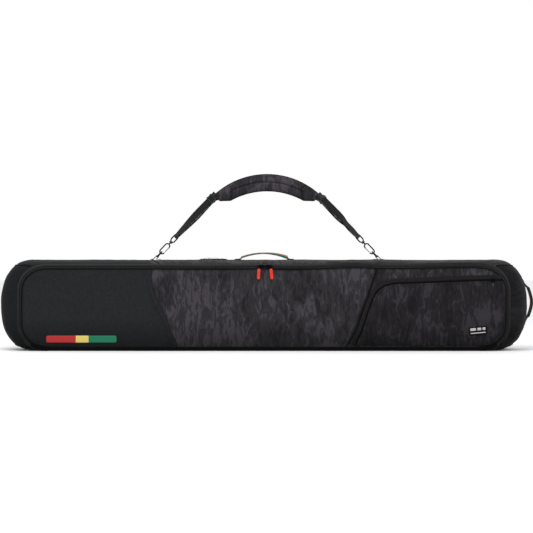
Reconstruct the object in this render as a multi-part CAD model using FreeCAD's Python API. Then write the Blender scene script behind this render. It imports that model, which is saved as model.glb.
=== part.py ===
import FreeCAD, Part
import math
import os

# Padded board bag, millimetres. +X runs along the bag to its right end, -Y is the front
# with the lid, +Z is up. The origin is the middle of the flat base that it stands on.

# Overall size
BAG_LENGTH = 1650.0
BAG_HEIGHT = 281.0
RIM_Y = 84.0                 # front and back rims of the gusset stand this far from the middle
SHOULDER_Y = 62.0            # where the gusset turns towards a rim
CROWN_Y = 25.0               # half width of the flattest, widest stretch
SHOULDER_FULLNESS = 0.62

# Rim outline, where the gusset meets the zip tape in front and the back panel behind
RIM_HALF_LENGTH = 759.0
RIM_TOP = 266.0
RIM_CORNER = (93.0, 86.0)
CROWN_CORNER = (98.0, 136.0)
CORNER_WEIGHT = 0.85         # conic weight: 0.707 is an ellipse, more is squarer

# Layers of a padded wall, from outside in
SKIN = 1.6
FOAM = 8.0
LINING = 0.8
WALL = SKIN + FOAM + LINING
BACK_FOAM_Y = RIM_Y - FOAM
GUSSET_SEAM_X = (708.0, 778.0)   # long gussets stop here, at a rim and along the middle
FOAM_SEAM_X = 740.0              # the foam under them is cut straight

# Main zip, as insets from the rim outline
TAPE = 1.6
ZIP_SLIT_INSET = 6.0
ZIP_GAP = 0.4
LID_INSET = 12.0
ZIP_END_Z = 40.0             # lowest point of the zip at both ends of the bag
TAPE_FOLD = 1.2              # the lid tape's inner edge, folded onto the lid

# Lid
LID_FRONT_Y = -RIM_Y - 2.0   # outer face of the lid foam
LID_SKIN_Y = LID_FRONT_Y - SKIN
HINGE_Y = -82.0
HINGE_Z = LID_INSET
HINGE_CLEARANCE = 7.6
LID_CLEARANCE = 1.3
TRIM = 0.8                   # thickness of patches and labels
PIPING = 1.6
TRIM_INSET = LID_INSET + 2 * PIPING + 0.2    # seams and pocket stay inside the lid's piping

# Seams across the lid, as (x, z) from top to bottom
LEFT_SEAM = [(-348, 257), (-342, 193.5), (-296, 92), (-258, 0)]
RIGHT_SEAM = [(350, 257), (329, 193.5), (283, 66.5), (244, 0)]
SEAM_BAND = 15.0
POCKET_SLIT_RIGHT = (736.0, 218.0)
POCKET_SLIT_BEND = (411.0, 207.5)
POCKET_SLIT_CURVE = [(371, 199.5), (338.5, 167), (301.5, 59.5), (278, 0)]
POCKET_BAND = 12.0
POCKET_GAP = 5.0
POCKET_THICK = 3.0

# Patches on the lid: centre x, z and size
STRIPE_PATCH = (-562.0, 36.0, 217.0, 21.5)
LABEL = (658.0, 62.0, 57.0, 26.5)
LABEL_TILT = 5.0

# Main zip sliders and pulls
SLIDER_X = (-8.2, 15.2)
SLIDER_LENGTH = 21.6
SLIDER_WIDTH = 9.0
POCKET_SLIDER_LENGTH = 13.0
SLIDER_THICK = 3.0
SLIDER_LIFT = 0.5            # clear of the tapes that it runs on
BAIL_SHIFT = 6.3             # from a main slider's middle, away from the other slider
BAIL_LENGTH = 9.0
BAIL_POST = 2.0
BAIL_POST_DEPTH = 3.0
BAIL_RISE = 4.0              # bail axis above the slider's outer face
BAIL_RADIUS = 1.0
PULL_EYE = (1.4, 2.9)        # inner and outer radius
PULL_WIDTH = 9.5
PULL_LENGTH = 39.0
PULL_THICK = 2.2
PULL_NECK = 2.0
PULL_SIDE_GAP = 0.4          # between a pull's eye and the bail's posts
POCKET_SLIDER_X = 705.0
POCKET_PULL_WIDTH = 7.0
POCKET_PULL_LENGTH = 18.0

# Webbing
WEB_THICK = 1.6
HANDLE_WEB = 25.0
STRAP_WEB = 38.0

# Grab handles
TOP_HANDLE_X = (-70.0, 73.0)
TOP_HANDLE_AXIS_Z = 288.5
TOP_HANDLE_RISE = 13.0
TOP_HANDLE_LEAN = 6.0        # leans towards the front
END_HANDLE_Z = (102.0, 194.0)
END_HANDLE_AXIS_X = 831.0
END_HANDLE_RISE = 12.0
TOP_ANCHOR_LENGTH = 20.0
END_ANCHOR_LENGTH = 26.0
HANDLE_GAP = 0.5             # between a handle's loop and its sewn ends

# Card window on the top gusset
WINDOW_X = (-201.0, -116.0)
WINDOW_DEPTH = 50.0
WINDOW_THICK = 3.0
BINDING = 6.0

# Shoulder strap: everything on a side lies along one line from a D-ring to the pad
STRAP_CENTRE_X = 10.0
STRAP_BASE = (352.0, 284.0)  # from the strap's centre, and height
STRAP_SLOPE = 46.6
RING_BAR_S = 9.5
RING_HALF_WIDTH = 14.0
RING_WIRE = 2.0
RING_REACH = 21.0            # from the bar to the apex, wire centres
RING_TAB_WIDTH = 23.0
RING_TAB_LENGTH = 32.0
RING_LOOP_S = 2.0            # the webbing loop round the bar starts here, low on the bag
RING_LOOP_RADIUS = 4.4
BAR_CLEARANCE = 0.35         # round a bar, inside the loop that turns on it
HOOK_WIRE = 2.1
HOOK_HALF_WIDTH = 7.4
HOOK_LENGTH = 43.6
HOOK_KNUCKLE = 2.6           # ball round the gate's pin
HOOK_SLACK = 2.0
HOOK_NOSE = 2.0
GATE_WIRE = 1.2
GATE_LENGTH = 19.0
GATE_NECK = 6.0
GATE_TIP = 1.2
GATE_PIN = 0.7
GATE_PIN_LENGTH = 10.0
PIN_HOLE_LENGTH = 12.0
SWIVEL_STEM = 2.4
SWIVEL_STEM_LENGTH = 5.5     # from the hook's origin back to its head
SWIVEL_HEAD = 4.0
SWIVEL_HEAD_SPAN = (5.0, 8.0)
SWIVEL_COLLAR = 5.5
COLLAR_SPAN = (1.0, 4.7)
SWIVEL_CLEARANCE = (0.3, 0.4)    # round the stem and round its head
EYE_LEG_START = (2.8, 4.0)
EYE_SHOULDER = 12.0
EYE_BAR_REACH = 26.5
EYE_BAR = 2.2
EYE_TWIST = 68.0             # webbing turned from face-on, at the hook and at the glide
GLIDE_TWIST = 51.0
GLIDE_S = 259.0
GLIDE_TRAVEL = 60.0
GLIDE_LENGTH = 20.0
GLIDE_BAR = 2.6
GLIDE_RAIL = 2.6
GLIDE_SIDE_GAP = 0.8
GLIDE_WEB_GAP = 0.4
WEB_END_S = 270.5

# Shoulder pad, as distances from the strap's centre and heights
PAD_TOP_END = (162.0, 489.5)
PAD_TOP = 550.0
PAD_BOTTOM_END = (149.5, 466.0)
PAD_BOTTOM_TURN = (115.0, 467.0)
PAD_BOTTOM = 497.0
PAD_FRONT_Y = -8.0
PAD_BACK_Y = 6.0
PAD_SKIN = 1.5
PAD_TAB_THICK = 8.0
PAD_TAB_Y = -1.0
PAD_TAB_FILL = 0.92          # of the pad end's length


def vec(x, y, z):
    return FreeCAD.Vector(x, y, z)


def box(x0, x1, y0, y1, z0, z1):
    return Part.makeBox(x1 - x0, y1 - y0, z1 - z0, vec(x0, y0, z0))


def rod(start, end, radius):
    """A round bar from start to end."""
    run = end - start
    return Part.makeCylinder(radius, run.Length, start, run)


def fuse(shapes):
    """One solid from touching or overlapping shapes."""
    whole = shapes[0]
    for shape in shapes[1:]:
        whole = whole.fuse(shape)
    return whole.removeSplitter()


def local_frame(origin, x_dir, y_dir):
    """A placement that puts local x and y along the two given directions."""
    x_dir = x_dir.normalize()
    z_dir = x_dir.cross(y_dir).normalize()
    y_dir = z_dir.cross(x_dir)
    return FreeCAD.Placement(
        FreeCAD.Matrix(
            x_dir.x, y_dir.x, z_dir.x, origin.x,
            x_dir.y, y_dir.y, z_dir.y, origin.y,
            x_dir.z, y_dir.z, z_dir.z, origin.z,
            0, 0, 0, 1,
        )
    )


def placed(shape, placement):
    """A copy of shape, moved from its own local frame into the bag's frame."""
    copy = shape.copy()
    copy.Placement = placement.multiply(copy.Placement)
    return copy


# The bag's outline and its layers

def outline(y, half_length, z_low, z_high, corner):
    """A closed wire in the plane y: a rectangle with rounded conic corners."""
    cx, cz = corner
    corners = [
        (half_length, z_low, -cx, 0, 0, cz),
        (half_length, z_high, 0, -cz, -cx, 0),
        (-half_length, z_high, cx, 0, 0, -cz),
        (-half_length, z_low, 0, cz, cx, 0),
    ]
    edges = []
    last = None
    for x, z, start_x, start_z, end_x, end_z in corners:
        start = vec(x + start_x, y, z + start_z)
        end = vec(x + end_x, y, z + end_z)
        curve = Part.BezierCurve()
        curve.setPoles([start, vec(x, y, z), end])
        curve.setWeight(2, CORNER_WEIGHT)
        if last is not None:
            edges.append(Part.makeLine(last, start))
        edges.append(curve.toShape())
        last = end
    first = edges[0].Vertexes[0].Point
    edges.append(Part.makeLine(last, first))
    return Part.Wire(edges)


def barrel_outline(y, fullness, inset):
    """The bag's section at y; fullness goes from 0 at a rim to 1 at the crown."""
    def between(rim, crown):
        return rim + (crown - rim) * fullness

    half_length = between(RIM_HALF_LENGTH, BAG_LENGTH / 2) - inset
    z_high = between(RIM_TOP, BAG_HEIGHT) - inset
    corner_x = between(RIM_CORNER[0], CROWN_CORNER[0]) - inset
    corner_z = between(RIM_CORNER[1], CROWN_CORNER[1]) - inset
    return outline(y, half_length, inset, z_high, (corner_x, corner_z))


def barrel(inset, overrun=0.0):
    """The bag's whole form, with every face moved in by inset except the two rims."""
    stations = [
        (-RIM_Y, 0.0),
        (-SHOULDER_Y, SHOULDER_FULLNESS),
        (-CROWN_Y, 1.0),
        (CROWN_Y, 1.0),
        (SHOULDER_Y, SHOULDER_FULLNESS),
        (RIM_Y, 0.0),
    ]
    if overrun:
        stations.insert(0, (-RIM_Y - overrun, 0.0))
        stations.append((RIM_Y + overrun, 0.0))
    wires = [barrel_outline(y, fullness, inset) for y, fullness in stations]
    return Part.makeLoft(wires, True, True)


def tube(outer_inset, inner_inset):
    """One layer of the gusset, open at both rims."""
    return barrel(outer_inset).cut(barrel(inner_inset, 1.0))


def slab(wire, y0, y1):
    """A flat plate with the outline wire, drawn at y0, from y0 to y1."""
    return Part.Face(wire).extrude(vec(0, y1 - y0, 0))


def rim_plate(inset, y0, y1):
    return slab(barrel_outline(y0, 0.0, inset), y0, y1)


def rim_ring(outer_inset, inner_inset, y0, y1):
    """A flat ring that follows the rim."""
    return rim_plate(outer_inset, y0, y1).cut(rim_plate(inner_inset, y0, y1))


def lid_space():
    """The room that the lid needs, shut and while it turns on its hinge."""
    inner_y = LID_FRONT_Y + FOAM + LINING + LID_CLEARANCE
    shut = rim_plate(LID_INSET - LID_CLEARANCE, -RIM_Y - 10, inner_y)
    reach = BAG_LENGTH / 2
    hinge = rod(vec(-reach, HINGE_Y, HINGE_Z), vec(reach, HINGE_Y, HINGE_Z), HINGE_CLEARANCE)
    return shut.fuse(hinge)


def end_region(side):
    """Everything past the bowed seam of one end gusset: side is -1 for left, 1 for right."""
    rim_x, middle_x = (side * x for x in GUSSET_SEAM_X)
    far = side * BAG_LENGTH
    back = vec(rim_x, RIM_Y, -1)
    front = vec(rim_x, -RIM_Y, -1)
    seam = Part.Arc(front, vec(middle_x, 0, -1), back).toShape()
    corners = [
        back,
        vec(rim_x, BAG_LENGTH, -1),
        vec(far, BAG_LENGTH, -1),
        vec(far, -BAG_LENGTH, -1),
        vec(rim_x, -BAG_LENGTH, -1),
        front,
    ]
    sides = [Part.makeLine(start, end) for start, end in zip(corners, corners[1:])]
    return Part.Face(Part.Wire([seam] + sides)).extrude(vec(0, 0, 2 * BAG_HEIGHT))


def slice_y(y0, y1, z_low=-1.0):
    """All of the bag's length between two depths."""
    return box(-BAG_LENGTH, BAG_LENGTH, y0, y1, z_low, BAG_LENGTH)


def foam_end_region(side):
    """Everything past the straight cut of one end's foam."""
    low, high = sorted((side * FOAM_SEAM_X, side * BAG_LENGTH))
    return box(low, high, -BAG_LENGTH, BAG_LENGTH, -1, 2 * BAG_HEIGHT)


def gusset_parts(layer, left, right):
    """A gusset layer cut at its seams: top, bottom, left end and right end."""
    middle = layer.cut(left).cut(right)
    upper = slice_y(-BAG_LENGTH, BAG_LENGTH, BAG_HEIGHT / 2)
    return {
        "top": middle.common(upper),
        "bottom": middle.cut(upper),
        "left_end": layer.common(left),
        "right_end": layer.common(right),
    }


def zip_region():
    """Where the main zip runs: the front, above the zip's two ends."""
    return slice_y(-BAG_LENGTH, 0, ZIP_END_Z)


def tray():
    """The gusset's layers and the back, with room left for the lid."""
    room = lid_space()
    skin = tube(0, SKIN).cut(room)
    foam = tube(SKIN, SKIN + FOAM).cut(room)
    skins = gusset_parts(skin, end_region(-1), end_region(1))
    foams = gusset_parts(foam, foam_end_region(-1), foam_end_region(1))
    parts = {name + "_gusset": shape for name, shape in skins.items()}
    for name, shape in foams.items():
        parts[name + "_foam"] = shape
    inside = barrel(SKIN + FOAM)
    back_lining = inside.common(slice_y(BACK_FOAM_Y - LINING, BACK_FOAM_Y))
    wall_lining = tube(SKIN + FOAM, WALL).common(slice_y(-BAG_LENGTH, BACK_FOAM_Y)).cut(room)
    parts["tray_lining"] = wall_lining.fuse(back_lining)
    parts["back_foam"] = inside.common(slice_y(BACK_FOAM_Y, RIM_Y))
    parts["back_panel"] = rim_plate(PIPING, RIM_Y, RIM_Y + SKIN)
    parts["back_piping"] = rim_ring(-PIPING / 2, PIPING, RIM_Y, RIM_Y + SKIN + PIPING)
    tape = rim_ring(0, ZIP_SLIT_INSET - ZIP_GAP / 2, -RIM_Y - TAPE, -RIM_Y)
    parts["tray_zip_tape"] = tape.common(zip_region())
    return parts


# The lid

def seam_curve(points, shift=0.0):
    """A smooth seam through points, moved along x by shift."""
    curve = Part.BSplineCurve()
    curve.interpolate([vec(x + shift, 0, z) for x, z in points])
    return curve.toShape()


def beside(points, side, shift=0.0):
    """The region of the lid on one side of a seam: side is -1 for left, 1 for right."""
    far = side * BAG_LENGTH
    edge = seam_curve(points, shift)
    top = edge.Vertexes[0].Point
    foot = edge.Vertexes[-1].Point
    above = vec(top.x, 0, BAG_HEIGHT + 50)
    below = vec(foot.x, 0, -50)
    far_below = vec(far, 0, -50)
    far_above = vec(far, 0, BAG_HEIGHT + 50)
    loop = Part.Wire([
        edge,
        Part.makeLine(foot, below),
        Part.makeLine(below, far_below),
        Part.makeLine(far_below, far_above),
        Part.makeLine(far_above, above),
        Part.makeLine(above, top),
    ])
    return Part.Face(loop).extrude(vec(0, -2 * RIM_Y, 0))


def pocket_region(shift):
    """The region under the pocket's zip slit, grown up and to the left by shift."""
    right = vec(BAG_LENGTH, 0, pocket_slit_z(BAG_LENGTH) + shift)
    bend = vec(POCKET_SLIT_BEND[0] - shift / 2, 0, POCKET_SLIT_BEND[1] + shift)
    points = [bend] + [vec(x - shift, 0, z + shift / 3) for x, z in POCKET_SLIT_CURVE]
    curve = Part.BSplineCurve()
    curve.interpolate(points)
    foot = points[-1]
    below = vec(foot.x, 0, -50)
    far_below = vec(BAG_LENGTH, 0, -50)
    loop = Part.Wire([
        Part.makeLine(right, bend),
        curve.toShape(),
        Part.makeLine(foot, below),
        Part.makeLine(below, far_below),
        Part.makeLine(far_below, right),
    ])
    return Part.Face(loop).extrude(vec(0, -2 * RIM_Y, 0))


def lid_panels():
    """The lid's three skin panels, its foam and its lining."""
    skin = rim_plate(LID_INSET, LID_SKIN_Y, LID_FRONT_Y)
    left = beside(LEFT_SEAM, -1)
    right = beside(RIGHT_SEAM, 1)
    inner_y = LID_FRONT_Y + FOAM
    return {
        "front_panel_left": skin.common(left),
        "front_panel_middle": skin.cut(left).cut(right),
        "front_panel_right": skin.common(right),
        "lid_foam": rim_plate(LID_INSET + SKIN, LID_FRONT_Y, inner_y),
        "lid_lining": rim_plate(LID_INSET + SKIN, inner_y, inner_y + LINING),
    }


def lid_edges():
    """The zip tape sewn to the lid, and the piping just inside it."""
    tape = rim_ring(ZIP_SLIT_INSET + ZIP_GAP / 2, LID_INSET, -RIM_Y - TAPE, -RIM_Y)
    fold = rim_ring(LID_INSET - TAPE_FOLD, LID_INSET, LID_SKIN_Y, -RIM_Y - TAPE)
    piping = rim_ring(LID_INSET, LID_INSET + 2 * PIPING, LID_SKIN_Y - PIPING, LID_SKIN_Y)
    return {
        "lid_zip_tape": tape.fuse(fold).common(zip_region()),
        "front_piping": piping.common(zip_region()),
    }


def lid_seams():
    """The band along the left seam and the piping along the right one."""
    inner = rim_plate(TRIM_INSET, LID_SKIN_Y - TRIM, LID_SKIN_Y)
    band = beside(LEFT_SEAM, -1).cut(beside(LEFT_SEAM, -1, -SEAM_BAND))
    piping = beside(RIGHT_SEAM, 1).cut(beside(RIGHT_SEAM, 1, 2 * PIPING))
    return {
        "seam_binding": inner.common(band),
        "diagonal_piping": inner.common(piping),
    }


def lid():
    """The lid's panels, layers, seams, pocket and patches."""
    parts = lid_panels()
    parts.update(lid_edges())
    parts.update(lid_seams())
    parts.update(pocket())
    parts["stripe_patch"] = patch(STRIPE_PATCH, 0.0, LID_SKIN_Y)
    parts["woven_label"] = patch(LABEL, LABEL_TILT, LID_SKIN_Y - POCKET_THICK)
    return parts


def pocket():
    """The flat outer pocket: its panel, the band over its zip, and the zip's tape."""
    plate = rim_plate(TRIM_INSET, LID_SKIN_Y - POCKET_THICK, LID_SKIN_Y)
    below = pocket_region(-POCKET_GAP / 2)
    gap = pocket_region(POCKET_GAP / 2)
    band = pocket_region(POCKET_GAP / 2 + POCKET_BAND)
    tape = rim_plate(TRIM_INSET, LID_SKIN_Y - TAPE, LID_SKIN_Y)
    past_seam = beside(RIGHT_SEAM, 1, 2 * PIPING + 0.2)
    return {
        "pocket_panel": plate.common(below),
        "pocket_zip_tape": tape.common(gap.cut(below)),
        "pocket_zip_band": plate.common(band.cut(gap)).common(past_seam),
    }


def patch(place, tilt, y):
    """A thin rectangle sewn on the face at y."""
    x, z, width, height = place
    plate = box(x - width / 2, x + width / 2, y - TRIM, y, z - height / 2, z + height / 2)
    plate.rotate(vec(x, y, z), vec(0, -1, 0), tilt)
    return plate


# Zip sliders and pulls

def slider(x, z, face_y, length, bail_x):
    """A slider's outer plate with its bail, whose bar runs along x."""
    plate_y = face_y - SLIDER_THICK
    bar_y = plate_y - BAIL_RISE
    half_length = length / 2
    half_width = SLIDER_WIDTH / 2
    plate = box(x - half_length, x + half_length, plate_y, face_y, z - half_width, z + half_width)
    half_bail = BAIL_LENGTH / 2
    bar = rod(vec(bail_x - half_bail, bar_y, z), vec(bail_x + half_bail, bar_y, z), BAIL_RADIUS)
    half_post = BAIL_POST / 2
    half_deep = BAIL_POST_DEPTH / 2
    low = z - half_deep
    high = z + half_deep
    posts = [
        box(end - half_post, end + half_post, bar_y - BAIL_RADIUS, plate_y, low, high)
        for end in (bail_x - half_bail + half_post, bail_x + half_bail - half_post)
    ]
    return fuse([plate, bar] + posts)


def pull(x, z, bar_y, width, length):
    """A pull that hangs from a bail: an eye round the bar and a flat tab."""
    inner, outer = PULL_EYE
    half_eye = BAIL_LENGTH / 2 - BAIL_POST - PULL_SIDE_GAP
    start = vec(x - half_eye, bar_y, z)
    end = vec(x + half_eye, bar_y, z)
    eye = rod(start, end, outer)
    front = bar_y - PULL_THICK / 2
    back = bar_y + PULL_THICK / 2
    tab_top = z - outer - PULL_NECK
    tab = box(x - width / 2, x + width / 2, front, back, z - length, tab_top)
    neck = box(x - half_eye, x + half_eye, front, back, tab_top, z - inner)
    return fuse([eye, neck, tab]).cut(rod(start, end, inner))


def main_sliders():
    """The two sliders meet in the middle, and their pulls hang from their outer ends."""
    parts = {}
    z = RIM_TOP - ZIP_SLIT_INSET
    face_y = -RIM_Y - TAPE - SLIDER_LIFT
    bar_y = face_y - SLIDER_THICK - BAIL_RISE
    for name, x, outward in zip(("left", "right"), SLIDER_X, (-1, 1)):
        bail_x = x + outward * BAIL_SHIFT
        parts["main_slider_" + name] = slider(x, z, face_y, SLIDER_LENGTH, bail_x)
        parts["main_pull_" + name] = pull(bail_x, z, bar_y, PULL_WIDTH, PULL_LENGTH)
    return parts


def pocket_slit_z(x):
    """Height of the pocket's slit on its straight stretch."""
    x0, z0 = POCKET_SLIT_BEND
    x1, z1 = POCKET_SLIT_RIGHT
    return z0 + (z1 - z0) * (x - x0) / (x1 - x0)


def pocket_slider():
    face_y = LID_SKIN_Y - POCKET_THICK - SLIDER_LIFT
    z = pocket_slit_z(POCKET_SLIDER_X)
    bar_y = face_y - SLIDER_THICK - BAIL_RISE
    x = POCKET_SLIDER_X
    return {
        "pocket_slider": slider(x, z, face_y, POCKET_SLIDER_LENGTH, x),
        "pocket_pull": pull(x, z, bar_y, POCKET_PULL_WIDTH, POCKET_PULL_LENGTH),
    }


# Handles and the card window

def arch(span, rise, width):
    """A webbing arch over the local x axis, from 0 to span, standing up along z."""
    outer = Part.Arc(vec(0, 0, 0), vec(span / 2, 0, rise), vec(span, 0, 0)).toShape()
    inner = Part.Arc(
        vec(span - 2 * WEB_THICK, 0, 0),
        vec(span / 2, 0, rise - WEB_THICK),
        vec(2 * WEB_THICK, 0, 0),
    ).toShape()
    loop = Part.Wire([
        outer,
        Part.makeLine(vec(span, 0, 0), vec(span - 2 * WEB_THICK, 0, 0)),
        inner,
        Part.makeLine(vec(2 * WEB_THICK, 0, 0), vec(0, 0, 0)),
    ])
    solid = Part.Face(loop).extrude(vec(0, width, 0))
    solid.translate(vec(0, -width / 2, 0))
    return solid


def top_handle():
    """The arch leans to the front; its two sewn ends stay on the gusset."""
    left, right = TOP_HANDLE_X
    loop = arch(right - left, TOP_HANDLE_RISE, HANDLE_WEB)
    loop.rotate(vec(0, 0, 0), vec(1, 0, 0), TOP_HANDLE_LEAN)
    loop.translate(vec(left, 0, TOP_HANDLE_AXIS_Z))
    ends = []
    half = HANDLE_WEB / 2
    for x, outward in ((left, -1), (right, 1)):
        x += outward * HANDLE_GAP
        near, far = sorted((x, x + outward * TOP_ANCHOR_LENGTH))
        flat = box(near, far, -half, half, BAG_HEIGHT, BAG_HEIGHT + 2 * WEB_THICK)
        near, far = sorted((x, x + outward * 2 * WEB_THICK))
        riser = box(near, far, -half, half, BAG_HEIGHT, TOP_HANDLE_AXIS_Z + WEB_THICK)
        ends.append(fuse([flat, riser]))
    return {"top_handle": loop, "top_handle_anchors": Part.makeCompound(ends)}


def end_handle():
    """The handle on the right end, with a sewn tab above and below it."""
    low, high = END_HANDLE_Z
    loop = arch(high - low, END_HANDLE_RISE, HANDLE_WEB)
    frame = local_frame(vec(END_HANDLE_AXIS_X, 0, low), vec(0, 0, 1), vec(0, 1, 0))
    loop = placed(loop, frame)
    if loop.BoundBox.XMax < END_HANDLE_AXIS_X + WEB_THICK:
        loop.rotate(vec(END_HANDLE_AXIS_X, 0, 0), vec(0, 0, 1), 180)
    form = barrel(0)
    tabs = []
    grown = form.copy()
    grown.translate(vec(2 * WEB_THICK, 0, 0))
    half = HANDLE_WEB / 2
    inside_x = BAG_LENGTH / 2 - 60
    for z, outward in ((low, -1), (high, 1)):
        z += outward * HANDLE_GAP
        near, far = sorted((z, z + outward * END_ANCHOR_LENGTH))
        flat = box(inside_x, BAG_LENGTH / 2 + 20, -half, half, near, far).common(grown)
        near, far = sorted((z, z + outward * 2 * WEB_THICK))
        riser = box(inside_x, END_HANDLE_AXIS_X + WEB_THICK, -half, half, near, far)
        tabs.append(flat.fuse(riser).cut(form).removeSplitter())
    return {"end_handle": loop, "end_handle_anchors": Part.makeCompound(tabs)}


def card_window():
    """A clear window bound on all four sides, sewn flat on the top gusset."""
    left, right = WINDOW_X
    half = WINDOW_DEPTH / 2
    base = BAG_HEIGHT
    whole = box(left, right, -half, half, base, base + WINDOW_THICK)
    inner_left = left + BINDING
    inner_right = right - BINDING
    inner_half = half - BINDING
    hole = box(inner_left, inner_right, -inner_half, inner_half, base, base + WINDOW_THICK)
    low = base + WINDOW_THICK / 2
    sheet = box(inner_left, inner_right, -inner_half, inner_half, low, low + TRIM)
    crown = box(left, right, -CROWN_Y, CROWN_Y, 0, BAG_HEIGHT * 2)
    return {"card_window_frame": whole.cut(hole).common(crown), "card_window": sheet.common(crown)}


# Shoulder strap

class StrapSide:
    """Directions and places along the strap on one side: 1 is right, -1 is left."""

    def __init__(self, side):
        slope = math.radians(STRAP_SLOPE)
        self.base = vec(STRAP_CENTRE_X + side * STRAP_BASE[0], 0, STRAP_BASE[1])
        self.along = vec(-side * math.cos(slope), 0, math.sin(slope))
        self.outer = vec(side * math.sin(slope), 0, math.cos(slope))

    def point(self, s):
        return self.base + self.along * s

    def across(self, twist):
        """The webbing's width direction; 0 is face-on, 90 edge-on."""
        angle = math.radians(twist)
        return self.outer * math.cos(angle) + vec(0, 1, 0) * math.sin(angle)

    def frame(self, s, twist):
        """Local x along the strap, y across the webbing, z through it."""
        return local_frame(self.point(s), self.along * 1, self.across(twist))

    def hook_frame(self):
        """Local x from the swivel to the hook's tip, y towards the gate."""
        return local_frame(self.point(hook_origin_s()), self.along * -1, self.outer * -1)


def ring_apex_s():
    return RING_BAR_S + RING_REACH


def hook_origin_s():
    tip = ring_apex_s() - RING_WIRE - HOOK_WIRE - HOOK_SLACK
    return tip + HOOK_LENGTH


def wire_path(points, radius, closed=False):
    """Round wire through straight runs with ball corners."""
    shapes = []
    ends = points[1:] + ([points[0]] if closed else [])
    starts = points if closed else points[:-1]
    for start, end in zip(starts, ends):
        shapes.append(rod(start, end, radius))
    for point in points:
        shapes.append(Part.makeSphere(radius, point))
    return fuse(shapes)


def half_ring(centre, radius, wire, start_angle):
    """Half a torus in the local xy plane, from start_angle round by 180 degrees."""
    ring = Part.makeTorus(radius, wire, vec(0, 0, 0), vec(0, 0, 1), -180, 180, 180)
    ring.rotate(vec(0, 0, 0), vec(0, 0, 1), start_angle)
    ring.translate(centre)
    return ring


def d_ring(side):
    """A D-ring: its bar lies across the bag, its arch points up the strap."""
    half = RING_HALF_WIDTH
    straight = RING_REACH - half
    legs = wire_path(
        [vec(straight, half, 0), vec(0, half, 0), vec(0, -half, 0), vec(straight, -half, 0)],
        RING_WIRE,
    )
    bow = half_ring(vec(straight, 0, 0), half, RING_WIRE, -90)
    frame = local_frame(side.point(RING_BAR_S), side.along * 1, vec(0, 1, 0))
    return placed(fuse([legs, bow]), frame)


def capsule(side, radius, width):
    """A bar across the bag with a long round section, where the webbing holds the ring."""
    low = side.point(RING_LOOP_S)
    high = side.point(RING_BAR_S)
    half = vec(0, width / 2, 0)
    ends = [rod(point - half, point + half, radius) for point in (low, high)]
    length = RING_BAR_S - RING_LOOP_S
    core = box(0, length, -width / 2, width / 2, -radius, radius)
    return fuse(ends + [placed(core, local_frame(low, side.along, vec(0, 1, 0)))])


def ring_tab(side):
    """The webbing that holds a D-ring's bar in a loop, sewn on the gusset."""
    width = RING_TAB_WIDTH
    centre = side.point(RING_LOOP_S)
    low_x = centre.x - RING_TAB_LENGTH / 2
    high_x = centre.x + RING_TAB_LENGTH / 2
    base = box(low_x, high_x, -width / 2, width / 2, BAG_HEIGHT, BAG_HEIGHT + WEB_THICK)
    above = box(low_x, high_x, -width / 2, width / 2, BAG_HEIGHT, 2 * BAG_HEIGHT)
    loop = capsule(side, RING_LOOP_RADIUS, width).common(above)
    room = capsule(side, RING_LOOP_RADIUS - WEB_THICK, width + 2)
    return fuse([base, loop]).cut(room)


def gate_pivot():
    """The gate's pin in the hook's local frame."""
    return vec(2 * HOOK_WIRE + HOOK_HALF_WIDTH + 1, HOOK_HALF_WIDTH, 0)


def pin_through_gate(radius, length):
    """A pin across the hook at the gate's pivot, in the hook's local frame."""
    half = vec(0, 0, length / 2)
    return rod(gate_pivot() - half, gate_pivot() + half, radius)


def hook_body(side):
    """An open hook: a stem with a head in the swivel, a spine and a nose."""
    half = HOOK_HALF_WIDTH
    tip = HOOK_LENGTH - half
    foot = gate_pivot().x
    low_bow = half_ring(vec(foot, 0, 0), half, HOOK_WIRE, 90)
    high_bow = half_ring(vec(tip, 0, 0), half, HOOK_WIRE, -90)
    spine = rod(vec(foot, -half, 0), vec(tip, -half, 0), HOOK_WIRE)
    nose = rod(vec(tip - HOOK_NOSE, half, 0), vec(tip, half, 0), HOOK_WIRE)
    knuckle = Part.makeSphere(HOOK_KNUCKLE, vec(foot, half, 0))
    stem = rod(vec(-SWIVEL_STEM_LENGTH, 0, 0), vec(foot - half, 0, 0), SWIVEL_STEM)
    head_near, head_far = SWIVEL_HEAD_SPAN
    head = rod(vec(-head_far, 0, 0), vec(-head_near, 0, 0), SWIVEL_HEAD)
    shape = fuse([low_bow, spine, high_bow, nose, knuckle, stem, head])
    hole = pin_through_gate(GATE_PIN + 0.05, PIN_HOLE_LENGTH)
    return placed(shape.cut(hole), side.hook_frame())


def hook_gate(side):
    """A wire gate: two legs from the pin that meet at a cross bar by the nose."""
    pivot = gate_pivot()
    spread = vec(0, 0, HOOK_KNUCKLE + GATE_WIRE + 0.3)
    neck = vec(GATE_NECK, 0, 0)
    end = pivot + vec(GATE_LENGTH, 0, 0)
    tip = vec(0, 0, GATE_TIP)
    points = [pivot + spread, pivot + spread + neck, end + tip]
    points += [end - tip, pivot - spread + neck, pivot - spread]
    hole = pin_through_gate(GATE_PIN + 0.02, PIN_HOLE_LENGTH)
    return placed(wire_path(points, GATE_WIRE).cut(hole), side.hook_frame())


def gate_pin(side):
    return placed(pin_through_gate(GATE_PIN, GATE_PIN_LENGTH), side.hook_frame())


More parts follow.
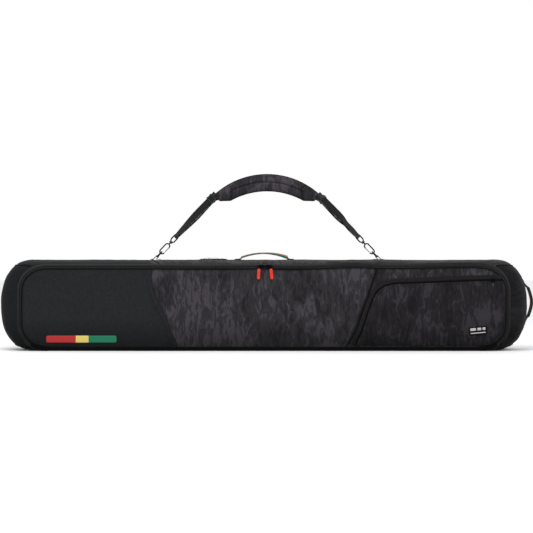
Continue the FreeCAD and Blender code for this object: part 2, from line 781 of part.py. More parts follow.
def hook_eye(side):
    """The swivel's eye: a collar that the hook's stem turns in, and the webbing's bar."""
    half = STRAP_WEB / 2 + EYE_BAR + 0.5
    reach = EYE_BAR_REACH
    start_x, start_y = EYE_LEG_START
    shapes = []
    for sign in (-1, 1):
        start = vec(start_x, sign * start_y, 0)
        shoulder = vec(EYE_SHOULDER, sign * half, 0)
        shapes.append(wire_path([start, shoulder, vec(reach, sign * half, 0)], EYE_BAR))
    shapes.append(rod(vec(reach, -half, 0), vec(reach, half, 0), EYE_BAR))
    near, far = COLLAR_SPAN
    shapes.append(rod(vec(near, 0, 0), vec(far, 0, 0), SWIVEL_COLLAR))
    stem_gap, head_gap = SWIVEL_CLEARANCE
    bore = rod(vec(near - 2, 0, 0), vec(far + 1, 0, 0), SWIVEL_STEM + stem_gap)
    head_room = rod(vec(far, 0, 0), vec(SWIVEL_HEAD_SPAN[1] + 1, 0, 0), SWIVEL_HEAD + head_gap)
    shape = fuse(shapes).cut(bore).cut(head_room)
    return placed(shape, side.frame(hook_origin_s(), EYE_TWIST))


def strip_section(side, s, twist, width, thick):
    """A rectangle across the webbing at s, as a wire."""
    frame = side.frame(s, twist)
    corners = [(-1, -1), (1, -1), (1, 1), (-1, 1), (-1, -1)]
    points = [frame.multVec(vec(0, a * width / 2, b * thick / 2)) for a, b in corners]
    return Part.makePolygon(points)


def strap_webbing(side):
    """Doubled webbing from the eye's bar to the pad, twisting on the way."""
    bar_s = hook_origin_s() + EYE_BAR_REACH
    inner = EYE_BAR + BAR_CLEARANCE
    start_s = bar_s + inner + 0.3
    straight_s = GLIDE_S - GLIDE_LENGTH / 2 - GLIDE_TRAVEL - 2
    steps = 4
    twisted = []
    for k in range(steps + 1):
        s = start_s + (straight_s - start_s) * k / steps
        twist = EYE_TWIST + (GLIDE_TWIST - EYE_TWIST) * k / steps
        twisted.append(strip_section(side, s, twist, STRAP_WEB, 2 * WEB_THICK))
    straight = [
        strip_section(side, s, GLIDE_TWIST, STRAP_WEB, 2 * WEB_THICK)
        for s in (straight_s, WEB_END_S)
    ]
    frame = side.frame(bar_s, EYE_TWIST)
    half = STRAP_WEB / 2 - 0.4
    roll = rod(vec(0, -half, 0), vec(0, half, 0), inner + WEB_THICK)
    hole = rod(vec(0, -half - 1, 0), vec(0, half + 1, 0), inner)
    strips = [Part.makeLoft(wires, True, True) for wires in (twisted, straight)]
    return fuse([placed(roll, frame)] + strips).cut(placed(hole, frame))


def tri_glide(side):
    """A three-bar slide: the webbing runs over the centre bar and under the outer two."""
    half = STRAP_WEB / 2 + GLIDE_SIDE_GAP
    clear = WEB_THICK + GLIDE_WEB_GAP
    deep = clear + GLIDE_BAR
    length = GLIDE_LENGTH / 2
    shapes = []
    for sign in (-1, 1):
        near, far = sorted((sign * half, sign * (half + GLIDE_RAIL)))
        shapes.append(box(-length, length, near, far, -deep, deep))
        near, far = sorted((sign * length, sign * (length - GLIDE_BAR)))
        shapes.append(box(near, far, -half - 1, half + 1, clear, deep))
    half_bar = GLIDE_BAR * 0.75
    shapes.append(box(-half_bar, half_bar, -half - 1, half + 1, -deep, -clear))
    return placed(fuse(shapes), side.frame(GLIDE_S, GLIDE_TWIST))


def pad_outline(y, inset):
    """The shoulder pad's banana outline in the plane y."""
    cx = STRAP_CENTRE_X

    def at(x, z):
        return vec(cx + x, y, z)

    top_x, top_z = PAD_TOP_END
    low_x, low_z = PAD_BOTTOM_END
    turn_x, turn_z = PAD_BOTTOM_TURN
    top_x -= inset
    low_x -= inset
    top_z -= inset
    low_z += inset
    turn_z += inset
    top = Part.Arc(at(-top_x, top_z), at(0, PAD_TOP - inset), at(top_x, top_z))
    bottom = Part.Arc(at(turn_x, turn_z), at(0, PAD_BOTTOM + inset), at(-turn_x, turn_z))
    return Part.Wire([
        top.toShape(),
        Part.makeLine(at(top_x, top_z), at(low_x, low_z)),
        Part.makeLine(at(low_x, low_z), at(turn_x, turn_z)),
        bottom.toShape(),
        Part.makeLine(at(-turn_x, turn_z), at(-low_x, low_z)),
        Part.makeLine(at(-low_x, low_z), at(-top_x, top_z)),
    ])


def pad_tab(sign):
    """A sewn tab that tapers from one end of the pad to the webbing."""
    top_x, top_z = PAD_TOP_END
    low_x, low_z = PAD_BOTTOM_END
    middle_x = (top_x + low_x) / 2 + 0.3
    middle = vec(STRAP_CENTRE_X + sign * middle_x, PAD_TAB_Y, (top_z + low_z) / 2)
    half = vec(sign * (top_x - low_x), 0, top_z - low_z) * (PAD_TAB_FILL / 2)
    deep = vec(0, PAD_TAB_THICK / 2, 0)
    corners = [middle - half - deep, middle + half - deep, middle + half + deep, middle - half + deep]
    near = Part.makePolygon(corners + corners[:1])
    side = StrapSide(sign)
    far = strip_section(side, WEB_END_S + 0.3, GLIDE_TWIST, STRAP_WEB - 4, 2 * WEB_THICK)
    return Part.makeLoft([near, far], True, True)


def shoulder_pad():
    """Cover, foam and mesh backing, and a sewn tab at each end."""
    front = PAD_FRONT_Y
    back = PAD_BACK_Y
    core = slab(pad_outline(front + PAD_SKIN, PAD_SKIN), front + PAD_SKIN, back)
    return {
        "pad_cover": slab(pad_outline(front, 0), front, back).cut(core),
        "pad_foam": core,
        "pad_backing": slab(pad_outline(back, 0), back, back + PAD_SKIN),
        "pad_end_tabs": Part.makeCompound([pad_tab(sign) for sign in (-1, 1)]),
    }


def shoulder_strap():
    parts = shoulder_pad()
    for name, sign in (("left", -1), ("right", 1)):
        side = StrapSide(sign)
        parts["d_ring_" + name] = d_ring(side)
        parts["ring_tab_" + name] = ring_tab(side)
        parts["hook_body_" + name] = hook_body(side)
        parts["hook_gate_" + name] = hook_gate(side)
        parts["gate_pin_" + name] = gate_pin(side)
        parts["hook_eye_" + name] = hook_eye(side)
        parts["strap_webbing_" + name] = strap_webbing(side)
        parts["tri_glide_" + name] = tri_glide(side)
    return parts


def main():
    os.makedirs("parts", exist_ok=True)
    parts = {}
    handles = (top_handle, end_handle)
    for group in (tray, lid, main_sliders, pocket_slider, *handles, card_window, shoulder_strap):
        parts.update(group())
    for name, shape in sorted(parts.items()):
        shape.exportStep("parts/" + name + ".step")
        bounds = shape.BoundBox
        print(
            f"{name:22s} solids {len(shape.Solids)} valid {shape.isValid()} "
            f"vol {shape.Volume / 1000:9.2f} cm3  x {bounds.XMin:7.1f} {bounds.XMax:7.1f} "
            f"y {bounds.YMin:6.1f} {bounds.YMax:6.1f} z {bounds.ZMin:6.1f} {bounds.ZMax:6.1f}"
        )
    print(len(parts), "nodes")


main()
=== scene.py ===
import math

import bmesh
import bpy
import numpy as np
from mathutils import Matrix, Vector


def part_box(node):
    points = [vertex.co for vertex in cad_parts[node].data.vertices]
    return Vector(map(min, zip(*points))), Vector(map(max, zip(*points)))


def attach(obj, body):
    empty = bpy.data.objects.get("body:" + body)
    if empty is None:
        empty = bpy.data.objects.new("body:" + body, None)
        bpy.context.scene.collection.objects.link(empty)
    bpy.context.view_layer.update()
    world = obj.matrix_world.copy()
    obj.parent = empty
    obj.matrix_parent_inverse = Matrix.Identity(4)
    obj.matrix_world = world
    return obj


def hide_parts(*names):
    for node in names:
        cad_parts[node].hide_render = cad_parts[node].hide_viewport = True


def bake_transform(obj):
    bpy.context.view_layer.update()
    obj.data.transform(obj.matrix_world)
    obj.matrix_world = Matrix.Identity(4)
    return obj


# The looks of a padded board bag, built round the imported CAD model. Shapes are worked out in
# millimetres, in the CAD's own frame, and turned into metres as each mesh is made.

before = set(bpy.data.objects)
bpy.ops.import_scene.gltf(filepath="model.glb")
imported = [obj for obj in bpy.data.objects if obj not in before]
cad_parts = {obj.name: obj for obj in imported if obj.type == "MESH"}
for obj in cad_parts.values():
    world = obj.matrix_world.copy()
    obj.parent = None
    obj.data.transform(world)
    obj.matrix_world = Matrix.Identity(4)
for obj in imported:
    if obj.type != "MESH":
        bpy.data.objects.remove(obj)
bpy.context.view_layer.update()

MM = 0.001
ACROSS_BAG = np.array([0.0, 1.0, 0.0])
SIDES = (("left", -1), ("right", 1))
CORNERS = ((-1, -1), (1, -1), (1, 1), (-1, 1))

# The bag's form, the same as in the CAD
RIM_Y = 84.0
RIM = dict(half=759.0, top=266.0, cx=93.0, cz=86.0)
CROWN = dict(half=825.0, top=281.0, cx=98.0, cz=136.0)
MIDDLE = np.array([0, 0, 143.0])
CORNER_WEIGHT = 0.85
BULGE_POWER = 2.2
WALL = 9.4
GUSSET_ROWS = 31
SEAM_RIM_X = 708.0
SEAM_CROWN_X = 778.0
COATED_END_X = -350.0
BACK_FACE_Y = 85.4

# The lid, its seams and the main zip
LID_INSET = 12.0
LID_FACE_Y = -87.2
LID_BACK_Y = -80.0
LID_LINING_Y = -77.2
SLIT_INSET = 6.0
TAPE_FRONT_Y = -85.6
TAPE_BACK_Y = -84.0
TAPE_STITCH_Y = -85.9
COIL_Y = -86.0
ZIP_END_Z = 19.0
HINGE_ROOM = 8.5
LEFT_SEAM = [(-348, 257), (-342, 193.5), (-322.6, 147.5), (-296, 92), (-278.5, 45.8), (-258, 0)]
RIGHT_SEAM = [(350, 257), (329, 193.5), (304.3, 127), (283, 66.5), (264.2, 30.2), (244, 0)]

# How far the zip wanders up or down at places along the bag
WANDER_X = (-747, -347, -215, -98, -29, 25, 61, 147, 269, 391, 489, 606, 685, 747)
WANDER_Z = (0, 0, -1.5, -1.0, 0, 0, -3.2, -1.0, 4.2, 0.5, 2.0, 4.2, 2.5, 0)

# Folds pressed into the lid: points along each, its depth and its width
LID_FOLDS = (
    ([(-61, 245), (-64, 211), (-60, 183)], 2.6, 9),
    ([(-4, 201), (-7, 157), (0, 120)], 2.2, 10),
    ([(411, 241), (509, 236), (626, 245)], 1.6, 8),
    ([(-626, 226), (-548, 231), (-430, 227)], 1.0, 12),
)
RELIEF_STEP = 9.0
RELIEF_LOW = -3.0
RELIEF_HIGH = 7.0
RELIEF_FREE_Z = (8, 249)
SEAM_HOLD = 5

# The pocket and the two patches on the lid
POCKET_SLIT = [(278, 0), (290.7, 38), (301.5, 60.5), (321, 121), (338.5, 165.5), (352.2, 185.7),
               (371, 198.8), (391.4, 204.7), (411, 207.5), (489.2, 210), (587, 213.2),
               (684.8, 216.3), (736, 218)]
POCKET_BEND_X = 420.0
POCKET_FOLD = ([(548, 60), (626, 30), (704, 22)], 1.5, 10)
BAR_X = (-670.5, -453.5)
BAR_Z = (25.3, 46.8)
LABEL = (658.0, 62.0)
LABEL_HALF = (28.5, 13.2)
LABEL_TILT = 5.0
LABEL_MARKS = ((-23, -5, 1, 9), (-1, 11, 1, 9), (15, 24, 1, 9), (-23, 24, -8, -5))

# Handles, sliders and pulls
TOP_HANDLE = dict(left=-70.0, right=73.0, axis=288.5, rise=13.0, lean=6.0)
TOP_FOOT = [(-20, 282.4), (-13, 282.5), (-6.5, 283.6), (-1.6, 286.0)]
END_HANDLE = dict(low=102.0, high=194.0, axis=831.0, rise=12.0, lean=12.0)
HANDLE_WEB = 25.0
HANDLE_SEGMENTS = 12
BOX_STITCH_Z = 283.6
SLIDER_FACE_Y = -86.1
PULL_FORWARD = 9.0
PULL_WIDTH = 9.5
PULL_LENGTH = 39.0
WINDOW_X = (-201.0, -116.0)
WINDOW_HALF = 25.0
WINDOW_Z = 281.6

# The shoulder strap. Distances called s run up the strap from where it meets the bag.
STRAP_X = 10.0
STRAP_HALF = 352.0
STRAP_Z = 284.0
STRAP_WEB = 38.0
SLOPE = math.radians(46.6)
EYE_S = 94.5
TURN_S = 187.0
GLIDE_S = 259.0
WEB_END_S = 262.0
PAD_S = 270.5
EYE_TWIST = 68.0
GLIDE_TWIST = 51.0

# The pad: (half length, height) at the ends of its edges, and the height of their crests
PAD_TOP = (162.0, 489.5)
PAD_TOP_CREST = 550.0
PAD_LOW = (115.0, 467.0)
PAD_LOW_CREST = 497.0
PAD_LOW_CORNER = (149.5, 466.0)
TAB_HIGH = (159.0, 489.5)
TAB_LOW = (146.0, 465.5)
TAB_HALF_WIDTH = 17.0


# Camera, light and floor

FLOOR_HALF = 20e3
LIGHTS = (
    ("key", (-0.6, -1.2, 2.6), 1.6, 34.0),
    ("fill", (2.2, -2.4, 1.4), 1.8, 12.0),
)


def studio():
    """A level camera at the front, a soft key from above, and a pale floor."""
    scene = bpy.context.scene
    data = bpy.data.cameras.new("camera")
    data.lens = 85.8
    data.sensor_width = 36.0
    camera = bpy.data.objects.new("camera", data)
    camera.location = (0.0083, -4.0, 0.2597)
    camera.rotation_euler = (math.radians(90), 0, 0)
    scene.collection.objects.link(camera)
    scene.camera = camera
    scene.view_settings.view_transform = "Standard"

    world = bpy.data.worlds.new("studio")
    world.use_nodes = True
    background = world.node_tree.nodes["Background"]
    background.inputs["Color"].default_value = (1, 1, 1, 1)
    background.inputs["Strength"].default_value = 1.0
    scene.world = world
    for name, place, size, power in LIGHTS:
        lamp = bpy.data.lights.new(name, "AREA")
        lamp.shape = "DISK"
        lamp.size = size
        lamp.energy = power
        light = bpy.data.objects.new(name, lamp)
        light.location = place
        aim = Vector((0, 0, 0.2)) - Vector(place)
        light.rotation_euler = aim.to_track_quat("-Z", "Y").to_euler()
        scene.collection.objects.link(light)

    corners = [(x * FLOOR_HALF, y * FLOOR_HALF, -1) for x, y in CORNERS]
    floor = add_mesh("floor", corners, [(0, 1, 2, 3)], smooth=False, material=floor_material())


# Points and lines

def xyz(*parts):
    """Points from their coordinates, each an array or one number for all of them."""
    return np.stack(np.broadcast_arrays(*parts), axis=-1)


def unit(vectors):
    """Vectors brought to length one."""
    return vectors / np.linalg.norm(vectors, axis=-1)[..., None]


def runs(points):
    """The distance of each point along its line."""
    return np.concatenate([[0], np.cumsum(np.linalg.norm(np.diff(points, axis=0), axis=1))])


def resample(points, count):
    """count points evenly along a line through points."""
    points = np.asarray(points, float)
    run = runs(points)
    at = np.linspace(0, run[-1], count)
    return np.stack([np.interp(at, run, points[:, k]) for k in range(points.shape[1])], axis=1)


def ring_of(outline, count):
    """count points evenly round a closed outline whose first point isn't repeated."""
    return resample(np.vstack([outline, outline[:1]]), count + 1)[:-1]


def smooth_line(points, count):
    """count points along a Catmull-Rom line through points."""
    points = np.asarray(points, float)
    padded = np.vstack([2 * points[0] - points[1], points, 2 * points[-1] - points[-2]])
    dense = []
    for k in range(len(points) - 1):
        a, b, c, d = padded[k:k + 4]
        t = np.linspace(0, 1, 24, endpoint=False)[:, None]
        dense.append(0.5 * (2 * b + (c - a) * t + (2 * a - 5 * b + 4 * c - d) * t ** 2
                            + (3 * b - a - 3 * c + d) * t ** 3))
    return resample(np.vstack(dense + [points[-1:]]), count)


def turned_left(step):
    """Flat directions turned left by a right angle."""
    return np.stack([-step[:, 1], step[:, 0]], axis=1)


def offset_line(line, offset):
    """A flat line moved to its left by offset."""
    line = np.asarray(line, float)
    return line + turned_left(unit(np.gradient(line, axis=0))) * offset


def distance_to(x, z, line):
    """The least distance from each (x, z) to a line of points."""
    line = np.asarray(line, float)
    p = np.stack([np.ravel(x), np.ravel(z)], axis=1)
    best = np.full(len(p), 1e9)
    for start, end in zip(line[:-1], line[1:]):
        d = end - start
        t = np.clip(((p - start) @ d) / max(d @ d, 1e-9), 0, 1)
        best = np.minimum(best, np.linalg.norm(p - start - t[:, None] * d, axis=1))
    return best.reshape(np.shape(x))


def packed(count, share=0.6):
    """count numbers from 0 to 1, closer together near both ends."""
    t = np.linspace(0, 1, count)
    return share * 0.5 * (1 - np.cos(math.pi * t)) + (1 - share) * t


def ripple(u, v, seed, count=7, low=0.006, high=0.03):
    """A smooth repeatable roughness, from -1 to 1, over two coordinates in millimetres."""
    draw = np.random.RandomState(seed)
    total = np.zeros(np.broadcast(u, v).shape)
    for _ in range(count):
        k = draw.uniform(low, high) * 2 * math.pi
        angle = draw.uniform(0, 2 * math.pi)
        phase = draw.uniform(0, 2 * math.pi)
        bend = 0.8 * np.sin(0.013 * u + 0.021 * v + phase)
        total = total + np.sin(k * (u * math.cos(angle) + v * math.sin(angle)) + phase + bend)
    return total / count


def crease(x, z, points, depth, width):
    """A soft fold along a line."""
    return depth * np.exp(-(distance_to(x, z, points) / width) ** 2)


def rounded(width, height, corner, steps=5):
    """A rounded rectangle about the origin, anticlockwise."""
    points = []
    for k, (sx, sy) in enumerate(((1, -1), (1, 1), (-1, 1), (-1, -1))):
        for a in np.radians(np.linspace(-90 + 90 * k, 90 * k, steps)):
            points.append((sx * (width / 2 - corner) + corner * math.cos(a),
                           sy * (height / 2 - corner) + corner * math.sin(a)))
    return np.array(points)


# Mesh making

def set_uv(mesh, uv):
    """A uv layer from one uv per vertex."""
    layer = mesh.uv_layers.new(name="UVMap")
    index = np.zeros(len(mesh.loops), np.int64)
    mesh.loops.foreach_get("vertex_index", index)
    layer.data.foreach_set("uv", np.asarray(uv, np.float32)[index].ravel())


def shade(mesh, smooth=True):
    mesh.polygons.foreach_set("use_smooth", [smooth] * len(mesh.polygons))


def add_mesh(name, points, faces, uv=None, smooth=True, material=None):
    """A mesh object from points in millimetres, with one uv per point in metres."""
    mesh = bpy.data.meshes.new(name)
    mesh.from_pydata((np.asarray(points, float) * MM).tolist(), [], faces)
    if uv is not None:
        set_uv(mesh, uv)
    closed = bmesh.new()
    closed.from_mesh(mesh)
    bmesh.ops.recalc_face_normals(closed, faces=closed.faces)
    closed.to_mesh(mesh)
    closed.free()
    shade(mesh, smooth)
    piece = bpy.data.objects.new(name, mesh)
    bpy.context.scene.collection.objects.link(piece)
    if material is not None:
        mesh.materials.append(material)
    return piece


def grid_faces(rows, cols, offset=0, wrap=False):
    last = cols if wrap else cols - 1
    return [
        (offset + i * cols + j, offset + i * cols + (j + 1) % cols,
         offset + (i + 1) * cols + (j + 1) % cols, offset + (i + 1) * cols + j)
        for i in range(rows - 1) for j in range(last)
    ]


def pipe_faces(rows, cols, closed=False):
    """Faces of a line of rings: joined up when closed, or else with a cap at both ends."""
    last = (rows - 1) * cols
    ends = [tuple(range(cols)), tuple(range(last, last + cols))]
    if closed:
        ends = [(last + j, last + (j + 1) % cols, (j + 1) % cols, j) for j in range(cols)]
    return grid_faces(rows, cols, wrap=True) + ends


def slab(name, outer, inner, uv, material):
    """A closed solid between two grids of the same size: (rows, cols, 3)."""
    rows, cols = outer.shape[:2]
    n = rows * cols
    points = np.vstack([outer.reshape(-1, 3), inner.reshape(-1, 3)])
    faces = grid_faces(rows, cols) + grid_faces(rows, cols, n)
    rim = [(0, j) for j in range(cols)] + [(i, cols - 1) for i in range(1, rows)]
    rim += [(rows - 1, j) for j in range(cols - 2, -1, -1)]
    rim += [(i, 0) for i in range(rows - 2, 0, -1)]
    ids = [i * cols + j for i, j in rim]
    faces += [(a, b, n + b, n + a) for a, b in zip(ids, ids[1:] + ids[:1])]
    flat = np.asarray(uv, float).reshape(-1, 2)
    return add_mesh(name, points, faces, np.vstack([flat, flat]), material=material)


def strip(name, front, back, line, share, width, material):
    """A slab whose rows follow a line, with its uv along and across it."""
    uv = np.stack(np.meshgrid(runs(line) * MM, share * width * MM), axis=-1)
    return slab(name, front, back, uv, material)


def circles(first, second, sides, flat=1.0):
    """A ring of directions round each point, from its two normals."""
    angle = np.linspace(0, 2 * math.pi, sides, endpoint=False)[None, :, None]
    return first[:, None] * np.cos(angle) + flat * second[:, None] * np.sin(angle)


def tube(name, path, radius, material, sides=10, closed=False, flat=1.0):
    """A round cord along path; flat squeezes it along its second normal."""
    path = np.asarray(path, float)
    tangent = np.gradient(path, axis=0)
    if closed:
        tangent = np.roll(path, -1, axis=0) - np.roll(path, 1, axis=0)
    tangent = unit(tangent)
    n = ACROSS_BAG if abs(tangent[0][1]) < 0.9 else np.array([1.0, 0, 0])
    normals = []
    for t in tangent:
        n = n - t * (n @ t)
        n = n / np.linalg.norm(n)
        normals.append(n)
    normals = np.array(normals)
    rings = circles(normals, np.cross(tangent, normals), sides, flat) * radius
    points = (path[:, None] + rings).reshape(-1, 3)
    return add_mesh(name, points, pipe_faces(len(path), sides, closed), material=material)


def ribbon(name, centres, across, width, thick, material, segments):
    """Webbing along centres, with its width along the directions in across. The uv is (share
    of the width, distance in metres)."""
    centres = np.asarray(centres, float)
    across = unit(np.asarray(across, float))
    normal = unit(np.cross(unit(np.gradient(centres, axis=0)), across))
    share = np.linspace(-0.5, 0.5, segments + 1)
    profile = [(s, 0.5 if 0 < k < segments else 0.2) for k, s in enumerate(share)]
    profile += [(s, -h) for s, h in reversed(profile)]
    points, uv = [], []
    for c, a, n, d in zip(centres, across, normal, runs(centres)):
        for s, h in profile:
            points.append(c + a * s * width + n * h * thick)
            uv.append((s + 0.5, d * MM))
    return add_mesh(name, points, pipe_faces(len(centres), len(profile)), uv, material=material)


BEAD_SIDES = 6
BEAD_RINGS = ((-0.5, 0.45), (-0.36, 1.0), (0.36, 1.0), (0.5, 0.45))


def beads(name, centres, along, length, radius, material):
    """Many small rounded rods in one mesh: stitches, or the coil of a zip."""
    along = unit(along)
    side = unit(np.cross(along, np.array([0.13, 0.97, 0.2])))
    rings = circles(side, np.cross(along, side), BEAD_SIDES)
    parts = [(centres + along * length * place)[:, None] + rings * radius * size
             for place, size in BEAD_RINGS]
    points = np.stack(parts, axis=1).reshape(-1, 3)
    per = len(BEAD_RINGS) * BEAD_SIDES
    one = pipe_faces(len(BEAD_RINGS), BEAD_SIDES)
    faces = [tuple(k * per + v for v in face) for k in range(len(centres)) for face in one]
    return add_mesh(name, points, faces, material=material)


def stitches(name, path, pitch, material, length=3.2, radius=0.45):
    """A row of stitches along a path."""
    path = np.asarray(path, float)
    spots = resample(path, max(3, int(runs(path)[-1] / pitch)))
    return beads(name, spots, np.gradient(spots, axis=0), length, radius, material)


PLATE_DOME = 0.2


def plate(name, outline, place, x_dir, y_dir, thick, edge, material):
    """A slightly domed plate with rounded edges. outline is flat and anticlockwise; place and
    the two directions put it."""
    outline = np.asarray(outline, float)
    inward = turned_left(unit(np.roll(outline, -1, axis=0) - np.roll(outline, 1, axis=0)))
    x_dir, y_dir = np.array(x_dir, float), np.array(y_dir, float)
    z_dir = np.cross(x_dir, y_dir)
    centre = outline.mean(axis=0)
    rings = []
    for a in np.radians([0, 30, 60, 90]):
        rings.append((outline + inward * edge * (1 - math.cos(a)),
                      thick / 2 - edge + edge * math.sin(a)))
    for share in (0.6, 0.25):
        rings.append((centre + (outline + inward * edge - centre) * share,
                      thick / 2 + PLATE_DOME * (1 - share)))
    sheets = [place + flat[:, :1] * x_dir + flat[:, 1:] * y_dir + sign * height * z_dir
              for sign in (1, -1) for flat, height in rings]
    n, m = len(outline), len(rings)
    faces = grid_faces(m, n, wrap=True) + grid_faces(m, n, m * n, wrap=True)
    faces += [(j, (j + 1) % n, m * n + (j + 1) % n, m * n + j) for j in range(n)]
    faces += [tuple(range((k - 1) * n, k * n)) for k in (m, 2 * m)]
    return add_mesh(name, np.vstack(sheets), faces, material=material)


def joined(name, pieces):
    """Several pieces as one mesh."""
    for piece in bpy.context.selected_objects:
        piece.select_set(False)
    for piece in pieces:
        piece.select_set(True)
    bpy.context.view_layer.objects.active = pieces[0]
    bpy.ops.object.join()
    pieces[0].name = name
    pieces[0].data.name = name
    return pieces[0]


def tell(piece, slot, *nodes, fill=None):
    """Hides the CAD nodes that the piece stands for. Its slot and fill are not used."""
    if nodes:
        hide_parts(*nodes)


def put(piece, body, slot, *nodes, fill=None):
    """The same, for a piece that rides on one body."""
    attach(piece, body)
    tell(piece, slot, *nodes, fill=fill)


def sew(name, path, pitch, thread, body, slot, **size):
    put(stitches(name, path, pitch, thread, **size), body, slot)


def pale_row(name, path, pitch, m):
    """Short stitches in pale thread, as on the ends of the webbing."""
    return stitches(name, path, pitch, m["pale_thread"], length=2.4)


# Materials

def rgba(colour):
    """A full colour from three channels or from one grey level."""
    return (*colour, 1) if hasattr(colour, "__len__") else (colour, colour, colour, 1)


class Nodes:
    """Short names for a material's nodes."""

    def __init__(self, name):
        self.material = bpy.data.materials.new(name)
        self.material.use_nodes = True
        self.tree = self.material.node_tree
        self.shader = self.tree.nodes["Principled BSDF"]
        coordinates = self.tree.nodes.new("ShaderNodeTexCoord")
        self.object = coordinates.outputs["Object"]
        self.uv = coordinates.outputs["UV"]

    def feed(self, socket, value):
        """Links a socket to another's output, or sets its own value."""
        if hasattr(value, "is_output"):
            self.tree.links.new(value, socket)
        else:
            socket.default_value = rgba(value) if socket.type == "RGBA" else value

    def set(self, **values):
        for key, value in values.items():
            self.feed(self.shader.inputs[key.replace("_", " ")], value)

    def node(self, kind, inputs, output=0, **settings):
        node = self.tree.nodes.new("ShaderNode" + kind)
        for key, value in settings.items():
            setattr(node, key, value)
        for key, value in inputs.items():
            self.feed(node.inputs[key], value)
        return node.outputs[output]

    def noise(self, vector, scale, detail=2.0, rough=0.5, distortion=0.0):
        inputs = dict(Vector=vector, Scale=scale, Detail=detail, Roughness=rough,
                      Distortion=distortion)
        return self.node("TexNoise", inputs, "Fac")

    def stretched_noise(self, scale, detail, rough, distortion):
        """Noise over the uv, drawn out by a scale for each direction."""
        vector = self.node("Mapping", dict(Vector=self.uv, Scale=(*scale, 1.0)))
        return self.noise(vector, 1.0, detail, rough, distortion)

    def wave(self, vector, scale, direction):
        inputs = dict(Vector=vector, Scale=scale, Detail=1.0)
        return self.node("TexWave", inputs, "Fac", bands_direction=direction)

    def math(self, operation, a, b=0.5):
        return self.node("Math", {0: a, 1: b}, operation=operation)

    def zigzag(self, value):
        """How far a value is from the middle of its own unit."""
        return self.math("ABSOLUTE", self.math("SUBTRACT", self.math("FRACT", value), 0.5))

    def ramp(self, value, *stops, hard=False):
        """Each stop is (position, colour)."""
        colour = self.node("ValToRGB", dict(Fac=value), "Color")
        bar = colour.node.color_ramp
        if hard:
            bar.interpolation = "CONSTANT"
        while len(bar.elements) < len(stops):
            bar.elements.new(0.5)
        for stop, (position, shade_here) in zip(bar.elements, stops):
            stop.position = position
            stop.color = rgba(shade_here)
        return colour

    def mix(self, share, a, b):
        return self.node("Mix", {"Factor": share, 6: a, 7: b}, 2, data_type="RGBA")

    def split(self, vector):
        return self.node("SeparateXYZ", dict(Vector=vector)).node.outputs

    def bump(self, height, strength, distance, under=None):
        inputs = dict(Strength=strength, Distance=distance, Height=height)
        if under is not None:
            inputs["Normal"] = under
        return self.node("Bump", inputs, "Normal")

    def weave(self, threads):
        """A plain weave: threads per metre across both directions of the uv."""
        scale = threads * math.pi / 10.0
        return self.math("MULTIPLY", self.wave(self.uv, scale, "X"), self.wave(self.uv, scale, "Y"))

    def ground_shade(self, reach):
        """Painted shade: how much darker the cloth is made towards the ground, up to the height
        reach.
        """
        return self.ramp(self.split(self.object)[2], (0.0, 0.62), (reach, 0))

    def draped(self, knit, strength):
        """The relief of woven cloth over soft unevenness."""
        soft = self.bump(self.noise(self.object, 45.0, 4.0, 0.6), 0.35, 0.0016)
        return self.bump(knit, strength, 0.0003, soft)


CLOTH_THREADS = 600.0
LINING_THREADS = 700.0
# How high the painted shade towards the ground reaches, in metres.
GROUND_SHADE_REACH = 0.1


def cloth(name, dark, light, rough=0.62, gloss=0.14, reach=GROUND_SHADE_REACH):
    """Coated woven cloth with soft cloudy wear, and painted shade towards the ground."""
    n = Nodes(name)
    cloud = n.noise(n.object, 6.0, 4.0, 0.6)
    fine = n.noise(n.object, 140.0, 3.0, 0.7)
    rubbed_light = [min(1, c * 1.35) for c in light]
    rubbed = n.mix(n.ramp(fine, (0.35, 0), (0.8, 1)), n.mix(cloud, dark, light), rubbed_light)
    knit = n.weave(CLOTH_THREADS)
    woven = n.mix(0.2, rubbed, n.mix(knit, dark, light))
    # The base colour is darkened towards the ground: painted shade.
    n.set(Base_Color=n.mix(n.ground_shade(reach), woven, 0), Specular_IOR_Level=gloss)
    n.set(Roughness=n.ramp(fine, (0.2, rough - 0.07), (0.9, rough + 0.1)))
    n.set(Normal=n.draped(knit, 0.35))
    return n.material


def camouflage(name, dark, middle, light, gloss):
    """Dark cloth printed with upright brushed patches in clusters, with painted shade towards the
    ground.
    """
    n = Nodes(name)
    patch = n.stretched_noise((62.0, 21.0), 3.5, 0.62, 1.3)
    cluster = n.stretched_noise((8.5, 6.0), 2.0, 0.5, 0.6)
    streak = n.stretched_noise((230.0, 26.0), 3.0, 0.6, 0.4)
    level = n.math("ADD", n.math("MULTIPLY", patch, 0.62), n.math("MULTIPLY", cluster, 0.42))
    level = n.math("ADD", level, n.math("MULTIPLY", streak, 0.10))
    print_colour = n.ramp(level, (0.47, dark), (0.54, middle), (0.585, middle), (0.64, light))
    knit = n.weave(CLOTH_THREADS)
    woven = n.mix(0.12, print_colour, n.mix(knit, dark, light))
    # The base colour is darkened towards the ground: painted shade.
    n.set(Base_Color=n.mix(n.ground_shade(GROUND_SHADE_REACH), woven, 0))
    n.set(Roughness=n.ramp(n.noise(n.object, 120.0, 3.0, 0.7), (0.2, 0.55), (0.9, 0.74)))
    n.set(Specular_IOR_Level=gloss, Sheen_Weight=0.03)
    n.set(Normal=n.draped(knit, 0.3))
    return n.material


